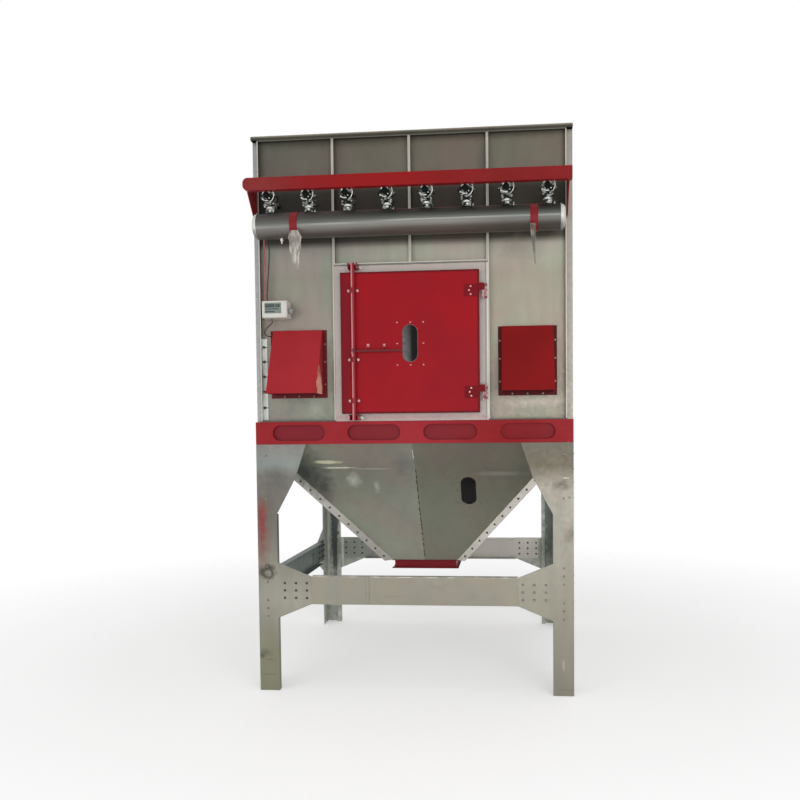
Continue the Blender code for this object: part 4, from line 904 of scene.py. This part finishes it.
def frame_mitres():
    """Ground-flush welds across the door frame's mitred corners."""
    low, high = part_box("door_frame")
    bm = bmesh.new()
    inset, gap = 10 * MM, 4 * MM
    for x_out, x_in in ((low.x + inset, DOOR_LOW.x - gap), (high.x - inset, DOOR_HIGH.x + gap)):
        for z_out, z_in in ((high.z - inset, DOOR_HIGH.z + gap), (low.z + inset, DOOR_LOW.z - gap)):
            weld_bead(bm, (x_out, FRONT, z_out), (x_in, FRONT, z_in), 2.2 * MM, 5 * MM)
    piece("door_frame_mitre_welds", bm, frame_zinc, slot="galvanised_sheet")


edge_strip()
hood_bolts()
frame_mitres()


# Door

WINDOW_Z = 2.200
WINDOW_SCREWS = [(x, up) for up in (0.129, -0.133) for x in (-0.080, 0.002, 0.083)]
WINDOW_SCREWS += [(-0.080, -0.001), (0.083, -0.001)]
CLIP_X = (-0.262, -0.161)
CLIP_UP = 0.452


def door_seal():
    """Rubber strip round the back of the leaf, pressed on the frame."""
    bm = bmesh.new()
    inset, thick = 6 * MM, 14 * MM
    back, front = FRONT - 0.4 * MM, DOOR_HIGH.y + 0.2 * MM
    x0, x1 = DOOR_LOW.x + inset, DOOR_HIGH.x - inset
    z0, z1 = DOOR_LOW.z + inset, DOOR_HIGH.z - inset
    for left, right, base, top in ((x0, x1, z0, z0 + thick), (x0, x1, z1 - thick, z1),
                                   (x0, x0 + thick, z0 + thick, z1 - thick),
                                   (x1 - thick, x1, z0 + thick, z1 - thick)):
        bar(bm, (left, front, base), (right, back, top), 1.5)
    piece("door_seal", bm, rubber, "door", slot="control_plastic")


def door_window():
    """Thin rubber rim round the glass, and the screws that hold the pane from behind."""
    middle = Vector((0, DOOR_FACE, WINDOW_Z))
    rim, screws = meshes(2)
    oval_ring(rim, Matrix.Translation(middle) @ Matrix.Rotation(math.radians(90), 4, "X"), *GLASS_SIZE,
              3.5 * MM, 1.6 * MM)
    for x, up in WINDOW_SCREWS:
        screw(screws, middle + Vector((x, 0, up)), FRONT_WAY, 10)
    piece("door_window_rim", rim, rim_rubber, "door", slot="control_plastic")
    piece("door_window_screws", screws, pink_bolt, "door", slot="zinc_fittings")


def hinge_screws():
    """Screws of the hinge straps on the leaf, and the heads of the pins on the frame's posts."""
    on_door, on_frame = meshes(2)
    for word in ("lower", "upper"):
        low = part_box(word + "_hinge_door_strap")[0]
        for x, up in ((0.376, 24), (0.366, 0), (0.376, -24)):
            bolt(on_door, near((x, low.y, low.z), 0, 5.7, 36 + up), FRONT_WAY, 11, 5)
        low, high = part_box(word + "_hinge_frame_post")
        for end, way in ((high.z, UP), (low.z, -UP)):
            at = aim(near((high.x, low.y, end), -25, 8), way)
            turned_part(on_frame, at, [(6.5, 0), (6.5, 2), (4, 4.5)], 16)
    piece("hinge_strap_screws", on_door, pink_bolt, "door", slot="zinc_fittings")
    piece("hinge_pin_heads", on_frame, pink_bolt, slot="zinc_fittings")


def lock_fittings():
    """Screws of the rod's guides and keepers, and the clips that park the handle."""
    on_door, on_frame, clips, on_clips = meshes(4)
    for word in ("lower", "middle", "upper"):
        low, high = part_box(word + "_rod_guide")
        for x in (low.x + 10 * MM, high.x - 10 * MM):
            bolt(on_door, (x, high.y - SHEET, (low.z + high.z) / 2), FRONT_WAY, 13, 6)
    for word in ("lower", "upper"):
        low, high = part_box(word + "_rod_keeper")
        for x in (low.x - 9 * MM, high.x + 9 * MM):
            bolt(on_frame, (x, FRONT, (low.z + high.z) / 2), FRONT_WAY, 17, 10)
    for x in CLIP_X:
        spot = (x, DOOR_FACE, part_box("lock_rod")[0].z + CLIP_UP)
        block(clips, spot, (-11, -3, -4), (11, 0, 22))
        block(clips, spot, (-11, -22, -4), (11, -2, 0))
        bolt(on_clips, near(spot, 0, -3, 12), FRONT_WAY, 10, 4)
    piece("rod_guide_bolts", on_door, pink_bolt, "door", slot="zinc_fittings")
    piece("rod_keeper_bolts", on_frame, bolt_zinc, slot="zinc_fittings")
    piece("handle_clips", clips, highlit_red, "door", slot="red_paint")
    piece("handle_clip_bolts", on_clips, pink_bolt, "door", slot="zinc_fittings")


door_seal()
door_window()
hinge_screws()
lock_fittings()


# Tank, valves and controls

DRAIN_X = -0.774


def tank_seams():
    """Ripple welds where the dished ends meet the pipe, and the drain stub."""
    welds, drain = meshes(2)
    rng = random.Random(7)
    count = 96
    for end in (TANK_LOW.x, TANK_HIGH.x):
        rings = []
        for step in range(count):
            turn = TURN * step / count
            way = Vector((0, math.cos(turn), math.sin(turn)))
            fat = 3.4 * MM * (0.8 + 0.35 * (step % 2)) * rng.uniform(0.9, 1.1)
            rings.append([welds.verts.new(Vector((end, TANK_Y, TANK_Z)) + way * (TANK_R + fat * math.cos(t))
                                          + RIGHT * fat * math.sin(t))
                          for t in (TURN * i / 8 for i in range(8))])
        skin(welds, rings + rings[:1], capped=False)
    at = aim((DRAIN_X, TANK_Y, TANK_Z - TANK_R), -UP)
    turned_part(drain, at, [(9, -4), (9, 10), (6, 11), (6, 30), (5, 31)], 16)
    turned_part(drain, at, [(12, 4), (12, 13)], 6)
    piece("tank_end_welds", welds, cap_zinc, slot="zinc_fittings")
    piece("tank_drain_stub", drain, bolt_zinc, slot="zinc_fittings")


def one_valve(x, front_y, level, radius, parts):
    """Trim of one pulse valve, all of it outside the CAD body."""
    screws, coils, nuts, castings = parts
    heart, foot = Vector((x, TANK_Y, level)), Vector((x, TANK_Y, TANK_Z + TANK_R))
    front, rim = Vector((x, front_y, level)), near(heart, 0, -41)
    for step in range(8):
        turn = TURN * (step + 0.5) / 8
        bolt(castings if step % 2 else screws, rim + clock(turn) * 0.88 * radius, FRONT_WAY, 9, 5, turn)
        # Ribs between the bonnet's screws
        rod_along(castings, [near(rim, 0, -1) + clock(turn + 0.39) * radius * out for out in (0.5, 1.04)],
                  3.2 * MM, 8)
    # Pilot coil, up and to the left of the middle, with its cover nut
    middle = near(front, -5, 1, 3)
    turned_part(coils, aim(middle, FRONT_WAY),
                [(17, 0), (18, 1), (18, 20), (16, 22), (8, 22.5), (8, 25), (6, 26)])
    # Painted highlights as bright arcs round the coil: a heavy one over its top, a wide one round its right,
    # one under its plug
    for first, last, reach, thick in ((0.5, 2.7, 24, 5.0), (-1.0, 0.9, 46, 2.8), (-2.3, -0.9, 33, 3.2)):
        arc = [first + (last - first) * step / 7 for step in range(8)]
        rod_along(nuts, [near(middle, 0, -9) + clock(t) * reach * MM for t in arc], thick * MM, 8)
    # Plug of the coil, turned down to the right, with its screw
    block(coils, front, (4, -17, -30), (28, -2, -6), 2)
    screw(screws, near(front, 16, -17, -18), FRONT_WAY, 9)
    # Shoulder under the bonnet with four bolts, and lugs at both sides of the body
    block(castings, foot, (-35, -33, 42), (35, 33, 50), 3)
    for side in (-1, 1):
        for end in (-1, 1):
            spot = near(foot, side * 26, end * 24, 42)
            bolt(castings, spot, -UP, 12, 8, 0.2)
            bolt(screws, near(spot, 0, 0, 8), UP, 12, 7, 0.4)
        block(castings, heart, (side * 44 - 7, -30, -8), (side * 44 + 7, 8, 8), 3)
        bolt(castings, near(heart, side * 46, -30), FRONT_WAY, 10, 6)
    # Body behind the bonnet, and the coupling on the outlet
    turned_part(castings, aim(near(heart, 0, -20), -FRONT_WAY), [(34, 0), (37, 6), (37, 14), (32, 22)])
    turned_part(castings, aim(near(heart, 0, 36), -FRONT_WAY), [(29, 0), (33, 2), (33, 18), (29, 20)], 6)
    # Weld flange on the tank's port, bright union ring over it, and a collar over that
    at = aim(near(foot, 0, 0, -1), UP)
    turned_part(castings, at, [(31, 0), (31, 3), (27, 5)])
    turned_part(nuts, at, [(22, 25), (26, 27), (26, 37), (22, 39)])
    turned_part(castings, at, [(24, 51), (27, 55), (27, 67), (24, 71)])
    # Plug in front of the port, and the lead's nipple beside it
    turned_part(screws, aim(near(foot, 6, -24, 11), FRONT_WAY), [(9, 0), (9, 8), (7, 10)], 6)
    turned_part(castings, aim(near(foot, 39, -8, -4), UP), [(8, 0), (8, 10), (5, 11), (5, 21), (3, 22)], 6)


def valve_trim():
    """Trim of all eight valves, in four pieces by material."""
    parts = meshes(4)
    for index in range(8):
        low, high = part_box("pulse_valve_%d" % (index + 1))
        radius = (high.x - low.x) / 2
        one_valve((low.x + high.x) / 2, low.y, high.z - radius, radius, parts)
    for bm, name, material, slot in zip(
            parts, ("valve_screws", "valve_pilot_coils", "valve_nuts", "valve_castings"),
            (bolt_zinc, coil_plastic, bright_alloy, cast_alloy),
            ("zinc_fittings", "control_plastic", "zinc_fittings", "cast_alloy")):
        piece(name, bm, material, slot=slot)


def hung_film(name, fixed, spans, drop, lean, seed, material):
    """Scrap of wrap caught under a strap: pinched at the top, as wide as spans says, tapered to its end."""
    rng = random.Random(seed)
    rows, columns = 18, 9
    bm = bmesh.new()
    grid = []
    phases = [rng.uniform(0, 6.28) for _ in range(3)]
    for row in range(rows + 1):
        t = row / rows
        index = min(int(t * (len(spans) - 1)), len(spans) - 2)
        part = t * (len(spans) - 1) - index
        width = spans[index] * (1 - part) + spans[index + 1] * part
        line = []
        for column in range(columns + 1):
            s = column / columns - 0.5
            fold = math.sin(s * 15 + phases[0] + t * 2.2) + 0.6 * math.sin(s * 31 + phases[1] - t * 5)
            out = fold * 0.06 * width * (0.45 + 0.8 * t) + 0.004 * math.sin(t * 9 + phases[2])
            edge = 0.04 * width * math.sin(t * 19 + phases[1] + s * 3)
            across = s * width + lean * t * t + edge
            spot = fixed + RIGHT * across + FRONT_WAY * (out + 0.012) - UP * (drop * t)
            line.append(bm.verts.new(spot))
        grid.append(line)
    for above, below in zip(grid, grid[1:]):
        for column in range(columns):
            bm.faces.new((above[column], above[column + 1], below[column + 1], below[column]))
    flat_area = sum(face.calc_area() for face in bm.faces)
    widest = max(sum((b.co - a.co).length for a, b in zip(line, line[1:])) for line in grid)
    long = max(sum((b.co - a.co).length for a, b in zip(line, line[1:])) for line in zip(*grid))
    made = piece(name, bm, material, slot="control_plastic", crease=80)


def strap_films():
    """Torn scraps of packing wrap that still hang from both tank straps."""
    y = TANK_Y - TANK_R - 5 * MM
    hung_film("left_wrap_scrap", Vector((-0.668, y, 2.866)),
              (0.044, 0.076, 0.074, 0.062, 0.048, 0.034, 0.012),
              0.232, 0.010, 3, wrap_film)
    hung_film("right_wrap_scrap", Vector((0.752, y, 2.862)),
              (0.030, 0.034, 0.024, 0.018, 0.013, 0.010, 0.006),
              0.235, 0.012, 8, dusty_film)


def controller():
    """Lid with its screws, screen, dark blocks on the screen, and cable gland of the controller."""
    low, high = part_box("control_box")
    tall = (high.z - low.z) / MM
    lid, screen, blocks, gland = meshes(4)
    block(lid, low, (2, -5, 2), (158, 2, tall - 2), 2)
    for x in (9, 151):
        for z in (9, tall - 9):
            screw(lid, near(low, x, -5, z), FRONT_WAY, 8)
    block(screen, low, (18, -6.4, 26), (124, -4, tall - 12))
    for x0, z0, x1, z1 in ((22, 62, 82, 84), (86, 64, 116, 82), (22, 50, 110, 56), (22, 32, 84, 41)):
        block(blocks, low, (x0, -7.2, z0), (x1, -6.2, z1), 0.4)
    at = aim(near((low.x, (low.y + high.y) / 2, low.z), 160, -14, 44), RIGHT)
    turned_part(gland, at, [(20, 0), (20, 8), (16, 9), (16, 13)], 6)
    turned_part(gland, at, [(18, 12), (20, 15), (19, 29), (14, 34), (10, 35)])
    piece("controller_lid", lid, box_plastic, slot="control_plastic")
    piece("controller_screen", screen, screen_glass, slot="control_plastic")
    piece("controller_screen_blocks", blocks, screen_dark, slot="control_plastic")
    piece("controller_gland", gland, grey_plastic, slot="control_plastic")


def lead(name, marks, thick):
    """Lead on a smooth curve through its marks."""
    marks = [Vector(mark) for mark in marks]
    path = []
    for index in range(len(marks) - 1):
        p0, p1 = marks[max(index - 1, 0)], marks[index]
        p2, p3 = marks[index + 1], marks[min(index + 2, len(marks) - 1)]
        for t in (0.0, 0.25, 0.5, 0.75):
            path.append(0.5 * ((2 * p1) + (p2 - p0) * t + (2 * p0 - 5 * p1 + 4 * p2 - p3) * t * t
                               + (3 * p1 - p0 - 3 * p2 + p3) * t ** 3))
    path.append(marks[-1])
    length = sum((b - a).length for a, b in zip(path, path[1:]))
    bm = bmesh.new()
    rod_along(bm, path, thick / 2)
    made = piece(name, bm, lead_plastic, slot="conduit_plastic")
    tuple(marks[0])
    [tuple(p) for p in path]


def controller_leads():
    """Lead that loops out under the controller into the sheet, and the valves' lead down to its top."""
    low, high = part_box("control_box")
    start = (-0.885, FRONT + 8 * MM, low.z + 4 * MM)
    loop = ((-0.893, -2, 2.335), (-0.912, -4, 2.318), (-0.928, 0, 2.300), (-0.930, 6, 2.282),
            (-0.917, 16, 2.268), (-0.900, 26, 2.266))
    lead("controller_lead", [start, near(start, 2, -2, -30)] + [(x, FRONT + y * MM, z) for x, y, z in loop]
         + [(-0.892, SHEET_FACE + 2 * MM, 2.266)], 6 * MM)
    drop = ((-0.900, 3.018), (-0.900, 2.960), (-0.897, 2.880), (-0.888, 2.800), (-0.890, 2.730),
            (-0.899, 2.620), (-0.905, 2.530), (-0.906, high.z - 2 * MM))
    lead("valve_lead", [(x, FRONT - 11 * MM, z) for x, z in drop], 7 * MM)


tank_seams()
valve_trim()
strap_films()
controller()
controller_leads()


# Studio

FLOOR_RADIUS = 8.0
FLOOR_FADE = (2.2, 5.5)
FLOOR_GLOW = 0.34
WORLD_LIGHT = 0.50


def photo_camera():
    """Camera that solved the photograph; its view counts X right, Y down and Z away."""
    data = bpy.data.cameras.new("photo_camera")
    camera = place("photo_camera", data)
    base = Matrix(((1, 0, 0), (0, 0, -1), (0, 1, 0)))
    turned = Matrix.Rotation(CAMERA_ROLL, 3, "Z") @ Matrix.Rotation(CAMERA_PITCH, 3, "X")
    turned = turned @ Matrix.Rotation(-CAMERA_YAW, 3, "Y") @ base
    camera.matrix_world = Matrix.Translation(CAMERA_SPOT) @ (
        turned.transposed() @ Matrix.Diagonal((1, -1, -1))).to_4x4()
    data.sensor_width = SENSOR
    data.lens = FOCAL_PX / FRAME_PX * SENSOR
    data.shift_x = (FRAME_PX / 2 - CENTRE_PX[0]) / FRAME_PX
    data.shift_y = (CENTRE_PX[1] - FRAME_PX / 2) / FRAME_PX
    bpy.context.scene.camera = camera


def soft_lamp(name, spot, target, power, size=4.0):
    """Square white lamp at a spot, turned to a target."""
    data = bpy.data.lights.new(name, "AREA")
    data.shape = "SQUARE"
    data.size = size
    data.energy = power
    place(name, data).matrix_world = aim(Vector(spot), Vector(spot) - Vector(target))


def studio():
    """White backdrop, three soft lamps, and a pale floor that fades out round the machine."""
    world = bpy.data.worlds.new("studio")
    bpy.context.scene.world = world
    world.use_nodes = True
    tree = world.node_tree
    ray = add(tree, "LightPath", out=None).outputs
    seen = add(tree, "Math", ray["Is Camera Ray"], ray["Is Transmission Ray"], operation="MAXIMUM")
    seen = add(tree, "Math", seen, ray["Is Glossy Ray"], operation="MAXIMUM")
    feed(tree, tree.nodes["Background"], {
        "Color": (1, 1, 1, 1), "Strength": add(tree, "MapRange", seen, 0.0, 1.0, WORLD_LIGHT, 1.0)})
    bpy.context.scene.view_settings.view_transform = "Standard"
    soft_lamp("key", (4.5, -8.5, 2.6), (0, 0, 1.8), 200.0)
    soft_lamp("fill", (-4.5, -6.5, 2.2), (0, 0, 1.6), 60.0)
    soft_lamp("low", (0.3, -6.0, 0.5), (0, 0, 1.3), 60.0)

    made, tree, shader, spot = finish("pale_studio_floor")
    ray = add(tree, "LightPath", out=None).outputs
    far = add(tree, "VectorMath", spot, out="Value", operation="LENGTH")
    seen = add(tree, "Math", ray["Is Camera Ray"], ray["Is Glossy Ray"], operation="MAXIMUM")
    feed(tree, shader, {
        "Alpha": add(tree, "MapRange", far, *FLOOR_FADE, 1.0, 0.0), "Base Color": linear("#fbfbfb"),
        "Roughness": 0.9, "Specular IOR Level": 0.0, "Emission Color": (1, 1, 1, 1),
        "Emission Strength": add(tree, "Math", seen, FLOOR_GLOW, operation="MULTIPLY")})
    bm = bmesh.new()
    bmesh.ops.create_circle(bm, cap_ends=True, segments=64, radius=FLOOR_RADIUS)
    mesh = bpy.data.meshes.new("floor")
    bm.to_mesh(mesh)
    bm.free()
    floor = place("floor", mesh)
    floor.data.materials.append(made)


photo_camera()
studio()
